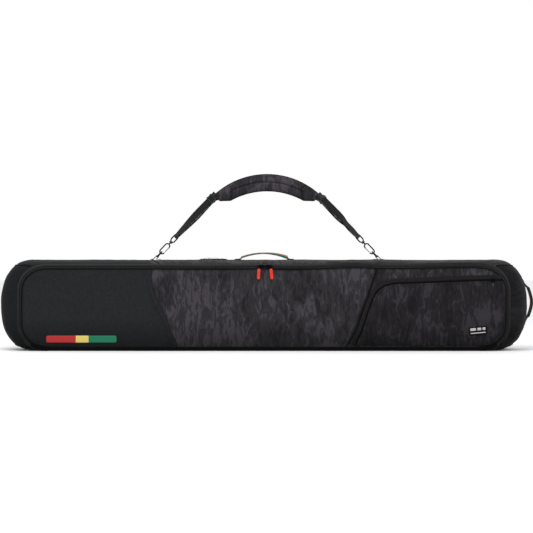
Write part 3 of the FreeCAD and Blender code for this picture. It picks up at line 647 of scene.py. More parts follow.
def webbing(name, stops, hard, gloss):
    """Ribbed webbing; the stops colour it across its width."""
    n = Nodes(name)
    across, along, _ = n.split(n.uv)
    herring = n.zigzag(n.math("MULTIPLY", across, 5.0))
    slant = n.math("ADD", n.math("MULTIPLY", along, 420.0), n.math("MULTIPLY", herring, 6.0))
    ribs = n.zigzag(slant)
    edge = n.math("ABSOLUTE", n.math("SUBTRACT", across, 0.5))
    rubbing = n.math("ADD", n.noise(n.object, 90.0, 3.0, 0.7), 0.5)
    worn = n.ramp(n.math("MULTIPLY", edge, rubbing), (0.44, 0), (0.6, 0.35))
    ribbed = n.mix(n.math("MULTIPLY", ribs, 0.7), n.ramp(across, *stops, hard=hard), 0)
    n.set(Base_Color=n.mix(worn, ribbed, (0.5, 0.5, 0.48)))
    n.set(Roughness=0.75, Specular_IOR_Level=gloss, Sheen_Weight=0.05)
    n.set(Normal=n.bump(ribs, 0.7, 0.0005))
    return n.material


def hard(name, dark, light, rough, metallic=0.0, grain=900.0, gloss=0.4, worn=None):
    """Moulded plastic or coated metal with a fine grain and rubbed edges."""
    n = Nodes(name)
    colour = n.mix(n.noise(n.object, 60.0, 4.0, 0.6), dark, light)
    if worn is not None:
        sharp = n.node("NewGeometry", {}, "Pointiness")
        chips = n.math("ADD", sharp, n.math("MULTIPLY", n.noise(n.object, 400.0, 3.0), 0.08))
        colour = n.mix(n.ramp(chips, (0.57, 0), (0.62, 0.5)), colour, worn)
    n.set(Base_Color=colour, Metallic=metallic, Specular_IOR_Level=gloss)
    n.set(Roughness=n.ramp(n.noise(n.object, 220.0, 3.0), (0.3, rough), (0.8, rough + 0.18)))
    n.set(Normal=n.bump(n.noise(n.object, grain, 2.0), 0.25, 0.0002))
    return n.material


def floor_material():
    n = Nodes("pale_floor")
    n.set(Base_Color=n.mix(n.noise(n.object, 3.0), 0.86, 0.9))
    n.set(Roughness=0.9, Specular_IOR_Level=0.05)
    return n.material


def thread(name, colour):
    n = Nodes(name)
    twist = n.wave(n.object, 90.0, "DIAGONAL")
    n.set(Base_Color=n.mix(twist, colour, [c * 0.6 for c in colour]))
    n.set(Roughness=0.7, Specular_IOR_Level=0.2)
    n.set(Normal=n.bump(twist, 0.4, 0.0002))
    return n.material


def spacer_mesh(name):
    """Open mesh with small round holes."""
    n = Nodes(name)
    holes = n.node("TexVoronoi", dict(Vector=n.object, Scale=330.0), "Distance")
    n.set(Base_Color=n.ramp(holes, (0.25, 0.004), (0.5, (0.03, 0.03, 0.032))))
    n.set(Roughness=0.8, Specular_IOR_Level=0.15)
    n.set(Normal=n.bump(holes, 0.8, 0.0008))
    return n.material


def quilted_lining(name):
    n = Nodes(name)
    fine = n.noise(n.object, 160.0, 3.0)
    n.set(Base_Color=n.mix(fine, (0.028, 0.029, 0.032), (0.05, 0.051, 0.055)))
    n.set(Roughness=0.5, Specular_IOR_Level=0.25)
    soft = n.bump(n.noise(n.object, 30.0, 3.0), 0.5, 0.002)
    n.set(Normal=n.bump(n.weave(LINING_THREADS), 0.4, 0.0004, soft))
    return n.material


def clear_vinyl(name):
    n = Nodes(name)
    n.set(Base_Color=n.mix(n.noise(n.object, 30.0), (0.9, 0.93, 0.95), (0.96, 0.97, 0.98)))
    n.set(Transmission_Weight=0.85, IOR=1.5)
    n.set(Roughness=n.ramp(n.noise(n.object, 70.0), (0.3, 0.08), (0.8, 0.25)))
    n.set(Normal=n.bump(n.noise(n.object, 40.0), 0.3, 0.001))
    return n.material


def printed_bar(name):
    """A plain raised print in three plain colours along x."""
    n = Nodes(name)
    left, right = BAR_X
    from_left = n.math("ADD", n.split(n.object)[0], -left * MM)
    share = n.math("DIVIDE", from_left, (right - left) * MM)
    wander = n.math("MULTIPLY", n.math("SUBTRACT", n.noise(n.object, 260.0), 0.5), 0.015)
    red, yellow, green = (0.42, 0.02, 0.02), (0.70, 0.56, 0.14), (0.006, 0.17, 0.085)
    stops = (0.0, red), (0.42, yellow), (0.60, green)
    colour = n.ramp(n.math("ADD", share, wander), *stops, hard=True)
    fine = n.noise(n.object, 500.0, 2.0)
    n.set(Base_Color=n.mix(n.math("MULTIPLY", fine, 0.3), colour, 0))
    n.set(Roughness=0.55, Specular_IOR_Level=0.25)
    n.set(Normal=n.bump(fine, 0.4, 0.0003))
    return n.material


def make_materials():
    plum = (0.0115, 0.0105, 0.0118)
    web_edge, web_middle = (0.003, 0.0037, 0.0035), (0.009, 0.0108, 0.01)
    teal, cream, coral = (0.004, 0.09, 0.065), (0.55, 0.27, 0.05), (0.42, 0.035, 0.03)
    return dict(
        coated=cloth("coated_cloth", (0.0105, 0.0113, 0.0122), (0.0165, 0.0174, 0.0188),
                     gloss=0.04),
        camo=camouflage("camouflage_cloth", plum, (0.0235, 0.0218, 0.0246),
                        (0.05, 0.0448, 0.0532), 0.05),
        # A darker copy of the camouflage for the right panel: painted shade.
        camo_side=camouflage("camouflage_cloth_side_shaded", plum, (0.0205, 0.019, 0.0218),
                             (0.048, 0.043, 0.051), 0.04),
        # A darker, flatter copy of the camouflage for the top gusset and the handle covers: painted
        # shade.
        camo_top=camouflage("camouflage_cloth_top_shaded", (0.0145, 0.0138, 0.0147),
                            (0.0255, 0.0243, 0.0262), (0.043, 0.040, 0.045), 0.02),
        # A darker copy of the camouflage for the pocket: painted shade.
        camo_dim=camouflage("camouflage_cloth_dim_shaded", (0.0085, 0.0078, 0.0088),
                            (0.0145, 0.0133, 0.015), (0.032, 0.0285, 0.034), 0.03),
        # Much darker copies of the camouflage and the coated cloth for the two end gussets: painted
        # shade.
        camo_end=camouflage("camouflage_cloth_end_shaded", (0.006, 0.0055, 0.0062),
                            (0.009, 0.0083, 0.0094), (0.014, 0.0128, 0.015), 0.03),
        coated_end=cloth("coated_cloth_end_shaded", (0.0075, 0.008, 0.0087), (0.0115, 0.0122, 0.0132),
                         gloss=0.03),
        pad_camo=camouflage("camouflage_pad", plum, (0.023, 0.0212, 0.0245),
                            (0.054, 0.048, 0.058), 0.05),
        # The zip tape's painted shade towards the ground reaches 0.26 m, nearly the bag's whole
        # height.
        tape=cloth("zip_tape_cloth", (0.0195, 0.0195, 0.0193), (0.0305, 0.0305, 0.0302),
                   0.7, 0.05, 0.26),
        flap=cloth("flap_cloth", (0.0082, 0.0081, 0.0081), (0.0132, 0.0131, 0.0131), 0.7, 0.04),
        piping=cloth("piping_cloth", (0.0022, 0.0023, 0.0025), (0.0045, 0.0046, 0.005), 0.6, 0.05),
        coil=hard("coil_nylon", [0.0125] * 3, [0.0205] * 3, 0.5, gloss=0.1),
        black_web=webbing("black_webbing", ((0.0, web_edge), (0.5, web_middle), (1.0, web_edge)),
                          False, 0.05),
        stripe_web=webbing("stripe_webbing", ((0.0, teal), (0.56, cream), (0.68, coral)),
                           True, 0.06),
        metal=hard("coated_metal", (0.0025, 0.0025, 0.003), (0.006, 0.006, 0.0065), 0.35,
                   grain=1200.0, gloss=0.25, worn=(0.08, 0.08, 0.085)),
        steel=hard("bright_wire", (0.3, 0.31, 0.32), (0.45, 0.45, 0.46), 0.3, metallic=1.0),
        plastic=hard("moulded_plastic", (0.003, 0.0032, 0.0032), (0.007, 0.0072, 0.0072), 0.4,
                     gloss=0.2, worn=0.03),
        slider=hard("slider_enamel", (0.0012, 0.0012, 0.0013), (0.0026, 0.0026, 0.0028), 0.6,
                    gloss=0.03),
        red=hard("red_rubber", (0.5, 0.032, 0.02), (0.68, 0.055, 0.035), 0.5, grain=500.0,
                 gloss=0.1),
        grey=hard("grey_rubber", (0.02, 0.02, 0.021), (0.035, 0.035, 0.036), 0.5, grain=500.0,
                  gloss=0.2),
        thread=thread("dark_thread", (0.012, 0.012, 0.013)),
        pale_thread=thread("grey_thread", (0.05, 0.05, 0.053)),
        spacer=spacer_mesh("spacer_mesh"),
        lining=quilted_lining("lining_cloth"),
        vinyl=clear_vinyl("clear_vinyl"),
        card=cloth("blank_card", (0.62, 0.62, 0.6), (0.72, 0.72, 0.7), 0.5),
        bar=printed_bar("three_colour_print"),
        label=cloth("label_cloth", [0.004] * 3, [0.009] * 3, 0.6, 0.05),
        label_thread=thread("label_thread", [0.5] * 3),
    )


# The bag's own curves

def conic(start, corner, end):
    """A rounded corner."""
    t = np.linspace(0, 1, 27)[:, None]
    a, b, c = (1 - t) ** 2, 2 * CORNER_WEIGHT * t * (1 - t), t ** 2
    return (a * np.array(start) + b * np.array(corner) + c * np.array(end)) / (a + b + c)


def loop(fullness=0.0, inset=0.0):
    """The closed outline as (x, z), from the middle of the base round by the right end."""
    half, top, cx, cz = (RIM[k] + (CROWN[k] - RIM[k]) * fullness - inset
                         for k in ("half", "top", "cx", "cz"))
    right = np.vstack([
        conic((half - cx, inset), (half, inset), (half, inset + cz)),
        conic((half, top - cz), (half, top), (half - cx, top)),
    ])
    return np.vstack([[(0, inset)], right, right[::-1] * (-1, 1), [(0, inset)]])


WANDER_AT = np.linspace(WANDER_X[0], WANDER_X[-1], 400)
WANDER = np.convolve(np.pad(np.interp(WANDER_AT, WANDER_X, WANDER_Z), 8, mode="edge"),
                     np.ones(17) / 17, "valid")


def warped(points):
    """Points moved with the zip and the lid's top seam, which wander a little up and down."""
    points = np.array(points, float)
    x, y, z = points[..., 0], points[..., 1], points[..., 2]
    near_top = np.clip((z - 186) / 65, 0, 1)
    near_front = np.clip((-y - 62) / 20, 0, 1)
    below_crown = np.clip((287 - z) / 20, 0, 1)
    share = near_top ** 2 * (3 - 2 * near_top) * near_front * below_crown
    points[..., 2] += np.interp(x, WANDER_AT, WANDER) * share
    return points


def half_width(z, inset):
    """Half the outline's width at height z."""
    right = loop(0.0, inset)
    right = right[: len(right) // 2 + 1]
    right = right[right[:, 0] >= 0]
    side = right[np.argsort(right[:, 1], kind="stable")]
    low, high = inset, RIM["top"] - inset
    inner = side[(side[:, 1] > low + 0.01) & (side[:, 1] < high - 0.01)]
    corner = RIM["half"] - RIM["cx"]
    zs = np.concatenate([[low], inner[:, 1], [high]])
    xs = np.concatenate([[corner], inner[:, 0], [corner]])
    return np.interp(z, zs, xs)


def surface_x(z):
    """How far out the right end is at height z, at the middle of the bag."""
    line = loop(1.0, 0.0)
    side = line[1: len(line) // 2]
    side = side[side[:, 0] > 700]
    order = np.argsort(side[:, 1], kind="stable")
    return float(np.interp(z, side[order, 1], side[order, 0]))


LEFT_LINE = smooth_line(LEFT_SEAM, 60)
RIGHT_LINE = smooth_line(RIGHT_SEAM, 60)
LID_LINE = resample(loop(0.0, LID_INSET), 240)


def seam_x(line, z):
    return np.interp(z, line[::-1, 1], line[::-1, 0])


# Cloth simulation of the lid's face

def simulate(piece, frames, pressure, stiffness, pins, gravity=0.0, grow=0.0):
    """Runs Blender's cloth on a piece and returns where its points end."""
    modifier = piece.modifiers.new("cloth", "CLOTH")
    settings = modifier.settings
    settings.quality = 6
    settings.mass = 0.3
    settings.tension_stiffness = stiffness
    settings.compression_stiffness = stiffness
    settings.shear_stiffness = stiffness
    settings.bending_stiffness = 0.6
    settings.use_pressure = True
    settings.uniform_pressure_force = pressure
    settings.shrink_min = -grow
    settings.effector_weights.gravity = gravity
    modifier.collision_settings.use_collision = False
    group = piece.vertex_groups.new(name="pins")
    group.add(np.flatnonzero(pins).tolist(), 1.0, "REPLACE")
    settings.vertex_group_mass = "pins"
    scene = bpy.context.scene
    for span in (scene, modifier.point_cache):
        span.frame_start = 1
        span.frame_end = frames
    for number in range(1, frames + 1):
        scene.frame_set(number)
    settled = piece.evaluated_get(bpy.context.evaluated_depsgraph_get())
    after = settled.to_mesh()
    co = np.zeros(len(after.vertices) * 3)
    after.vertices.foreach_get("co", co)
    settled.to_mesh_clear()
    piece.modifiers.remove(modifier)
    scene.frame_set(1)
    return co.reshape(-1, 3) / MM


def lid_relief():
    """How far the lid's cloth stands out, over a grid of (z, x), from one cloth simulation."""
    xs = np.arange(-774.0, 774.1, RELIEF_STEP)
    zs = np.arange(3.0, 268.1, RELIEF_STEP)
    gx, gz = np.meshgrid(xs, zs)
    reach = half_width(np.clip(gz, LID_INSET, RIM["top"] - LID_INSET), LID_INSET) - 6
    held = (np.abs(gx) >= reach) | (gz <= RELIEF_FREE_Z[0]) | (gz >= RELIEF_FREE_Z[1])
    for line in (LEFT_LINE, RIGHT_LINE):
        held |= distance_to(gx, gz, line) < SEAM_HOLD
    points = xyz(gx, ripple(gx, gz, 11) * -0.8, gz).reshape(-1, 3)
    piece = add_mesh("relief", points, grid_faces(len(zs), len(xs)))
    after = simulate(piece, frames=26, pressure=0.9, stiffness=6.0, pins=held, gravity=0.35,
                     grow=0.012)
    bpy.data.objects.remove(piece)
    return xs, zs, np.clip(-after[:, 1].reshape(gx.shape), RELIEF_LOW, RELIEF_HIGH)


def sample(grid, x, z):
    """Bilinear reading of a relief grid."""
    xs, zs, values = grid
    i = np.clip((np.asarray(z) - zs[0]) / RELIEF_STEP, 0, len(zs) - 1.001)
    j = np.clip((np.asarray(x) - xs[0]) / RELIEF_STEP, 0, len(xs) - 1.001)
    i0, j0 = i.astype(int), j.astype(int)
    fi, fj = i - i0, j - j0
    low = values[i0, j0] * (1 - fj) + values[i0, j0 + 1] * fj
    high = values[i0 + 1, j0] * (1 - fj) + values[i0 + 1, j0 + 1] * fj
    return low * (1 - fi) + high * fi


def lid_y(x, z):
    """The lid's outer face: padding swells between the seams, with folds pressed in."""
    x, z = np.asarray(x, float), np.asarray(z, float)
    edge = distance_to(x, z, LID_LINE[np.abs(LID_LINE[:, 1] - LID_INSET) > 0.5])
    edge = np.minimum(edge, z + 1.0)
    seam = np.minimum(distance_to(x, z, LEFT_LINE), distance_to(x, z, RIGHT_LINE))
    swell = 4.2 * (1 - np.exp(-edge / 20)) * (0.45 + 0.55 * (1 - np.exp(-seam / 26)))
    fade = np.clip(edge / 26, 0, 1) * np.clip(seam / 14, 0, 1)
    folds = sum(crease(x, z, *fold) for fold in LID_FOLDS)
    return LID_FACE_Y - swell - (sample(RELIEF, x, z) - folds) * fade


# Gusset

def bulge(y):
    return np.power(np.clip(1 - np.abs(y / RIM_Y) ** BULGE_POWER, 0, 1), 0.5)


def seam_place(y):
    """How far out the seam between a long and an end gusset lies at y."""
    bow = SEAM_CROWN_X - SEAM_RIM_X
    radius = (RIM_Y ** 2 + bow ** 2) / (2 * bow)
    return SEAM_CROWN_X - radius + math.sqrt(radius ** 2 - y ** 2)


def gusset_grid(part, inset, cols):
    """A gusset part's surface, as rows across the bag and columns round it."""
    grid = []
    for y in RIM_Y * (2 * packed(GUSSET_ROWS, 0.75) - 1):
        line = loop(float(bulge(y)), inset)
        run = runs(line)
        seam = float(seam_place(y)) - inset * 0.2
        low = line[:, 1] < line[:, 1].mean()
        marks = []
        for side, level in ((1, low), (1, ~low), (-1, ~low), (-1, low)):
            keep = level & (line[:, 0] * side > 0)
            out = np.abs(line[keep, 0])
            order = np.argsort(out)
            marks.append(np.interp(seam, out[order], run[keep][order]))
        marks.append(marks[0] + run[-1])
        first = ("right_end", "top", "left_end", "bottom").index(part)
        at = np.linspace(marks[first], marks[first + 1], cols) % run[-1]
        grid.append(xyz(np.interp(at, run, line[:, 0]), y, np.interp(at, run, line[:, 1])))
    return np.array(grid)


def grid_normals(grid):
    """Outward directions over a grid."""
    n = np.cross(np.gradient(grid, axis=1), np.gradient(grid, axis=0))
    n = n / np.maximum(np.linalg.norm(n, axis=2), 1e-9)[..., None]
    return -n if ((grid - MIDDLE) * n).sum() < 0 else n


def grid_runs(grid):
    """Distances along and across a grid's middle lines."""
    return np.meshgrid(runs(grid[len(grid) // 2]), runs(grid[:, grid.shape[1] // 2]))


def gusset(part, cols, seed, material):
    """A gusset part as a padded wall, and the grid of its outer face."""
    outer = gusset_grid(part, 0.0, cols)
    inner = gusset_grid(part, WALL, cols)
    along, across = grid_runs(outer)
    from_rim = np.minimum(across, across[-1, 0] - across)
    from_seam = np.minimum(along, along[0, -1] - along)
    flat = np.clip(from_rim / 18, 0, 1)
    out = ripple(along, across * 2.0, seed) * 1.3 * flat
    out += ripple(along, across, seed + 1, 5, 0.002, 0.006) * 1.2 * flat
    out -= 1.6 * np.exp(-(from_seam / 5) ** 2) * flat
    if part.endswith("end"):
        fold = np.sin(along / 16.0 + 0.8 * np.sin(across / 21.0))
        near_corner = np.exp(-((from_seam - 38) / 34) ** 2)
        low = 1 + 1.3 * np.clip((150 - outer[..., 2]) / 100, 0, 1)
        out += 1.5 * low * fold * near_corner * np.exp(-(from_rim / 38) ** 2)
    if part == "bottom":
        out = np.minimum(out, 0.0) * 0.5
    outer = warped(outer + grid_normals(outer) * out[..., None])
    if part == "bottom":
        for side in (outer, inner):
            room = np.interp(np.abs(side[..., 0]), (688, 706), (HINGE_ROOM, 0))
            side[..., 1] = np.maximum(side[..., 1], room - RIM_Y)
    uv = xyz(along + seed * 700, across) * MM
    return slab(part + "_wall", outer, warped(inner), uv, material), outer


def lining_sheet(part, cols, m):
    """The lining of one gusset part, gathered a little along its length."""
    outer = gusset_grid(part, WALL + 0.2, cols)
    inner = gusset_grid(part, WALL + 1.6, cols)
    along, across = grid_runs(outer)
    inward = MIDDLE - inner
    inward[..., 0] *= 0.05
    inward[..., 1] = 0
    inward /= np.maximum(np.linalg.norm(inward, axis=2), 1e-9)[..., None]
    inner = inner + inward * (np.abs(np.sin(along / 60.0)) * 1.2)[..., None]
    uv = xyz(along, across) * MM
    keep = slice(2, -3)
    return slab(part + "_lining", warped(outer[keep]), warped(inner[keep]), uv[keep], m["lining"])


def zip_share(count):
    """Which of count points along the rim's open outline the zip covers."""
    return resample(loop(0.0, SLIT_INSET)[1:-1], count)[:, 1] > ZIP_END_Z


def edge_line(inset, y, zipped=False, count=700):
    """The outline at an inset, as a 3-D line from the bottom right round to the bottom left."""
    points = resample(loop(0.0, inset)[1:-1], count)
    if zipped:
        points = points[zip_share(count)]
    return warped(xyz(points[:, 0], float(y), points[:, 1]))


def zip_tape(name, inset_a, inset_b, m, body, node):
    """A flat tape that follows the zip between two insets, crowned a little."""
    share = np.linspace(0, 1, 5)
    front = np.array([edge_line(inset_a + (inset_b - inset_a) * s, 0.0, True, 520) for s in share])
    back = front.copy()
    front[..., 1] = TAPE_FRONT_Y - 0.3 * (1 - (2 * share - 1) ** 2)[:, None]
    back[..., 1] = TAPE_BACK_Y
    tape = strip(name, front, back, front[0], share, abs(inset_b - inset_a), m["tape"])
    put(tape, body, "zip_tape", node)


def zip_teeth(name, inset, m, body):
    """One side of the coil: short rods across the slit."""
    line = edge_line(inset, COIL_Y, True, 1250)
    away = edge_line(inset + 1.0, COIL_Y, True, 1250) - line
    put(beads(name, line, away, 2.6, 0.75, m["coil"]), body, "zip_tape")


def full_panel(name, inset, y_front, y_back, material, puff=0.0, seed=0, quilt=0.0):
    """A whole flat panel with the rim's outline."""
    rows, cols = 44, 170
    zs = inset + (RIM["top"] - 2 * inset) * packed(rows)
    gz = np.repeat(zs[:, None], cols, axis=1)
    gx = half_width(gz, inset) * (2 * packed(cols, 0.35) - 1)[None, :]
    d = distance_to(gx, gz, resample(loop(0.0, inset), 200))
    swell = puff * (1 - np.exp(-d / 30)) + ripple(gx, gz, seed) * 1.4 * np.clip(d / 40, 0, 1)
    channels = np.clip(np.abs(np.sin(gx / 75.0)) * 3, 0, 1)
    swell += quilt * channels * np.clip(d / 25, 0, 1)
    face = y_front + np.sign(y_front - y_back) * swell
    return slab(name, xyz(gx, face, gz), xyz(gx, y_back, gz), xyz(gx, gz) * MM, material)


def end_seams(part, outer, m):
    """The two sewn seams of an end gusset, as cords that stand just out of the cloth."""
    for k, column in enumerate((1, -2)):
        line = outer[1:-1, column]
        centre = np.array([line[:, 0].mean() * 0.9, 0, MIDDLE[2]])
        cord = line + (line - centre) * 0.002
        put(tube(f"{part}_seam_{k}", cord, 1.9, m["piping"], 8), "root", "piping")


def build_tray(m):
    for part, cols, seed, look, slot in (
        # The top and end gussets take darker copies of their cloth: painted shade.
        ("top", 190, 1, m["camo_top"], "camo_fabric"),
        ("bottom", 150, 2, m["coated"], "coated_black"),
        ("left_end", 62, 3, m["coated_end"], "coated_black"),
        ("right_end", 62, 4, m["camo_end"], "camo_fabric"),
    ):
        piece, outer = gusset(part, cols, seed, look)
        put(piece, "root", slot, part + "_gusset", part + "_foam", fill=0.7)
        if part == "top":
            piece.data.materials.append(m["coated"])
            for face in piece.data.polygons:
                face.material_index = int(face.center.x < COATED_END_X * MM)
            column = int(np.argmin(np.abs(outer[GUSSET_ROWS // 2, :, 0] - COATED_END_X)))
            line = outer[1:-1, column] + (0, 0, 0.3)
            put(tube("top_cloth_seam", line, 1.2, m["piping"], 8), "root", "piping")
        if part.endswith("end"):
            end_seams(part, outer, m)
    for part, cols in (("top", 120), ("bottom", 110), ("left_end", 44), ("right_end", 44)):
        put(lining_sheet(part, cols, m), "root", "lining", "tray_lining")

    back_panels(m)
    zip_tape("tray_tape", -0.8, SLIT_INSET - 0.3, m, "root", "tray_zip_tape")
    zip_teeth("tray_coil", SLIT_INSET - 1.4, m, "root")
    row = edge_line(2.0, TAPE_STITCH_Y, True)
    sew("tray_tape_stitches", row, 5.0, m["thread"], "root", "zip_tape", radius=0.4)
    put(tube("rim_fold", edge_line(-0.6, -84.3), 1.3, m["tape"], 8), "root", "zip_tape")


def back_panels(m):
    back = full_panel("back_wall", 1.6, BACK_FACE_Y, 77.6, m["coated"], puff=3.4, seed=21)
    put(back, "root", "coated_black", "back_panel", "back_foam", fill=0.7)
    lining = full_panel("back_lining", WALL + 1.2, 75.4, 76.8, m["lining"], quilt=1.4, seed=22)
    put(lining, "root", "lining")
    line = resample(loop(0.0, 0.3), 620)[:-1]
    ring = xyz(line[:, 0], BACK_FACE_Y + 0.6, line[:, 1])
    cord = tube("back_edge_piping", ring, 2.0, m["piping"], closed=True)
    put(cord, "root", "piping", "back_piping")
    line = resample(loop(0.0, 9.0), 900)
    row = xyz(line[:, 0], BACK_FACE_Y + 1.8, line[:, 1])
    sew("back_edge_stitches", row, 5.5, m["thread"], "root", "coated_black")


# Lid

def on_lid(line, lift):
    """A line of (x, z) laid on the lid's face."""
    x, z = np.asarray(line, float).T
    return warped(xyz(x, lid_y(x, z) - lift, z))


def sheet_on_lid(name, gx, gz, lift, sink, material, uv_shift=0.0):
    """A solid that follows the lid's face, from lift in front of it to sink behind that."""
    y = lid_y(gx, gz)
    uv = xyz(gx * MM + uv_shift, gz * MM)
    return slab(name, warped(xyz(gx, y - lift, gz)), warped(xyz(gx, y - sink, gz)), uv, material)


def strip_on_lid(name, line, near, far, material, lift, thick, round_edge=0.5):
    """A flat strip on the lid's face, between two offsets to the left of a line."""
    share = np.array([0, 0.08, 0.25, 0.5, 0.75, 0.92, 1.0])
    high = np.array([0, 0.8, 1, 1, 1, 0.8, 0])
    front, back = [], []
    for s, h in zip(share, high):
        x, z = offset_line(line, near + (far - near) * s).T
        y = lid_y(x, z) - lift
        front.append(xyz(x, y - thick * (1 - round_edge + round_edge * h), z))
        back.append(xyz(x, y + 0.3, z))
    return strip(name, warped(front), warped(back), line, share, abs(far - near), material)


def inside_lid(line, inset):
    """The part of a line of (x, z) inside the lid's outline."""
    keep = (line[:, 1] > inset) & (line[:, 1] < RIM["top"] - inset)
    keep &= np.abs(line[:, 0]) < half_width(line[:, 1], inset)
    return line[keep]


def lid_panels(m):
    """The three padded panels, each between two lines of x over height."""
    zs = LID_INSET + (RIM["top"] - 2 * LID_INSET) * packed(46)
    half = half_width(zs, LID_INSET)
    lines = [-half, seam_x(LEFT_LINE, zs), seam_x(RIGHT_LINE, zs), half]
    for k, (name, cols, look, slot, nodes) in enumerate((
        ("lid_left", 64, m["coated"], "coated_black", ["front_panel_left"]),
        ("lid_middle", 88, m["camo"], "camo_fabric", ["front_panel_middle", "lid_foam"]),
        # The right panel takes a darker copy of the camouflage: painted shade.
        ("lid_right", 70, m["camo_side"], "camo_fabric", ["front_panel_right"]),
    )):
        a, b = lines[k][:, None], lines[k + 1][:, None]
        gx = a + (b - a) * packed(cols, 0.5)[None, :]
        gz = np.repeat(zs[:, None], cols, axis=1)
        outer, inner = xyz(gx, lid_y(gx, gz), gz), xyz(gx, LID_BACK_Y, gz)
        panel = slab(name, warped(outer), warped(inner), xyz(gx, gz) * MM, look)
        put(panel, "lid", slot, *nodes, fill=0.55)


def build_lid(m):
    lid_panels(m)
    inner = full_panel("lid_inside", LID_INSET + 1.6, LID_LINING_Y, LID_BACK_Y - 0.2, m["lining"],
                       quilt=1.0, seed=31)
    put(inner, "lid", "lining", "lid_lining")
    edge = edge_line(LID_INSET + 1.4, -88.3)
    put(tube("lid_piping", edge, 1.9, m["piping"]), "lid", "piping", "front_piping")
    zip_tape("lid_tape", SLIT_INSET + 0.3, LID_INSET + 0.6, m, "lid", "lid_zip_tape")
    zip_teeth("lid_coil", SLIT_INSET + 1.4, m, "lid")
    row = edge_line(10.2, TAPE_STITCH_Y, True)
    sew("lid_tape_stitches", row, 5.0, m["thread"], "lid", "zip_tape", radius=0.4)
    row = on_lid(resample(loop(0, 18.0)[1:-1], 800), 0.15)
    sew("lid_edge_stitches", row, 5.0, m["thread"], "lid", "coated_black")

    seam = inside_lid(smooth_line(LEFT_SEAM, 120), LID_INSET + 1)
    band = strip_on_lid("left_seam_band", seam, -15.0, 0.0, m["coated"], lift=0.1, thick=1.0)
    put(band, "lid", "coated_black", "seam_binding")
    for k, offset in enumerate((-2.2, -12.8)):
        row = on_lid(offset_line(seam, offset), 1.25)
        sew(f"left_seam_stitches_{k}", row, 4.6, m["thread"], "lid", "coated_black")

    seam = inside_lid(smooth_line(RIGHT_SEAM, 120), LID_INSET + 1)
    cord = tube("right_seam_piping", on_lid(seam, 1.1), 2.4, m["piping"])
    put(cord, "lid", "piping", "diagonal_piping")
    row = on_lid(offset_line(seam, -5.0), 0.15)
    sew("right_seam_stitches", row, 4.6, m["thread"], "lid", "camo_fabric")
    build_pocket(m)
    build_patches(m)
    hinge_strip(m)


def build_pocket(m):
    """A flat zipped pocket over most of the right panel."""
    slit = smooth_line(POCKET_SLIT, 260)
    inset = LID_INSET + 3.4
    below = offset_line(slit, -2.5)
    turn = int(np.argmin(np.abs(below[:, 0] - POCKET_BEND_X)))
    left = resample(inside_lid(below[: turn + 1], inset), 60)
    top_z = np.interp(POCKET_SLIT[-1][0] - 3, below[turn:, 0], below[turn:, 1])
    climb = (left[:, 1] - left[0, 1]) / (left[-1, 1] - left[0, 1])
    right_z = inset + (top_z - inset) * climb
    right = xyz(half_width(right_z, inset), right_z)
    share = packed(72, 0.5)[None, :, None]
    gx, gz = np.moveaxis(left[:, None] * (1 - share) + right[:, None] * share, -1, 0)
    d = distance_to(gx, gz, np.vstack([left, right[::-1], left[:1]]))
    puff = 2.4 + 3.0 * (1 - np.exp(-d / 16)) + ripple(gx, gz, 41) * 1.3 * np.clip(d / 30, 0, 1)
    puff -= crease(gx, gz, *POCKET_FOLD) * np.clip(d / 12, 0, 1)
    # The pocket takes a darker copy of the camouflage: painted shade.
    face = sheet_on_lid("pocket_face", gx, gz, puff, 0.4, m["camo_dim"], 3.1)
    put(face, "lid", "camo_fabric", "pocket_panel", fill=0.4)

    slit = inside_lid(slit, inset)
    tape = strip_on_lid("pocket_tape", slit, -3.0, 3.0, m["piping"], lift=0.4, thick=1.2)
    put(tape, "lid", "zip_tape", "pocket_zip_tape")
    at = resample(on_lid(slit, 2.1), 330)
    away = np.cross(np.gradient(at, axis=0), ACROSS_BAG)
    put(beads("pocket_coil", at, away, 3.6, 0.6, m["piping"]), "lid", "zip_tape")
    flap = strip_on_lid("pocket_zip_flap", slit, 2.6, 14.5, m["flap"], lift=1.0, thick=2.2,
                        round_edge=0.7)
    put(flap, "lid", "coated_black", "pocket_zip_band")
    for name, offset, lift, slot in (
        ("pocket_flap_stitches", 12.6, 3.35, "coated_black"),
        ("pocket_face_stitches", -7.0, 3.9, "camo_fabric"),
    ):
        sew(name, on_lid(offset_line(slit, offset), lift), 4.6, m["thread"], "lid", slot)


def build_patches(m):
    """A plain three-colour printed bar, and a plain woven label."""
    bar = lid_decal("three_colour_bar", *BAR_X, *BAR_Z, m["bar"], lift=0.1, thick=0.5, corner=5.0)
    put(bar, "lid", "stripe_patch", "stripe_patch")
    cx, cz = LABEL
    half_x, half_z = LABEL_HALF
    label = lid_decal("side_label", cx - half_x, cx + half_x, cz - half_z, cz + half_z,
                      m["label"], lift=5.2, thick=0.9, corner=2.0, tilt=LABEL_TILT)
    put(label, "lid", "label_black", "woven_label")
    marks = [lid_decal(f"label_mark_{k}", cx + a, cx + b, cz + c, cz + d, m["label_thread"],
                       lift=6.1, thick=0.35, corner=0.8, tilt=LABEL_TILT, centre=LABEL)
             for k, (a, b, c, d) in enumerate(LABEL_MARKS)]
    put(joined("label_marks", marks), "lid", "label_black")


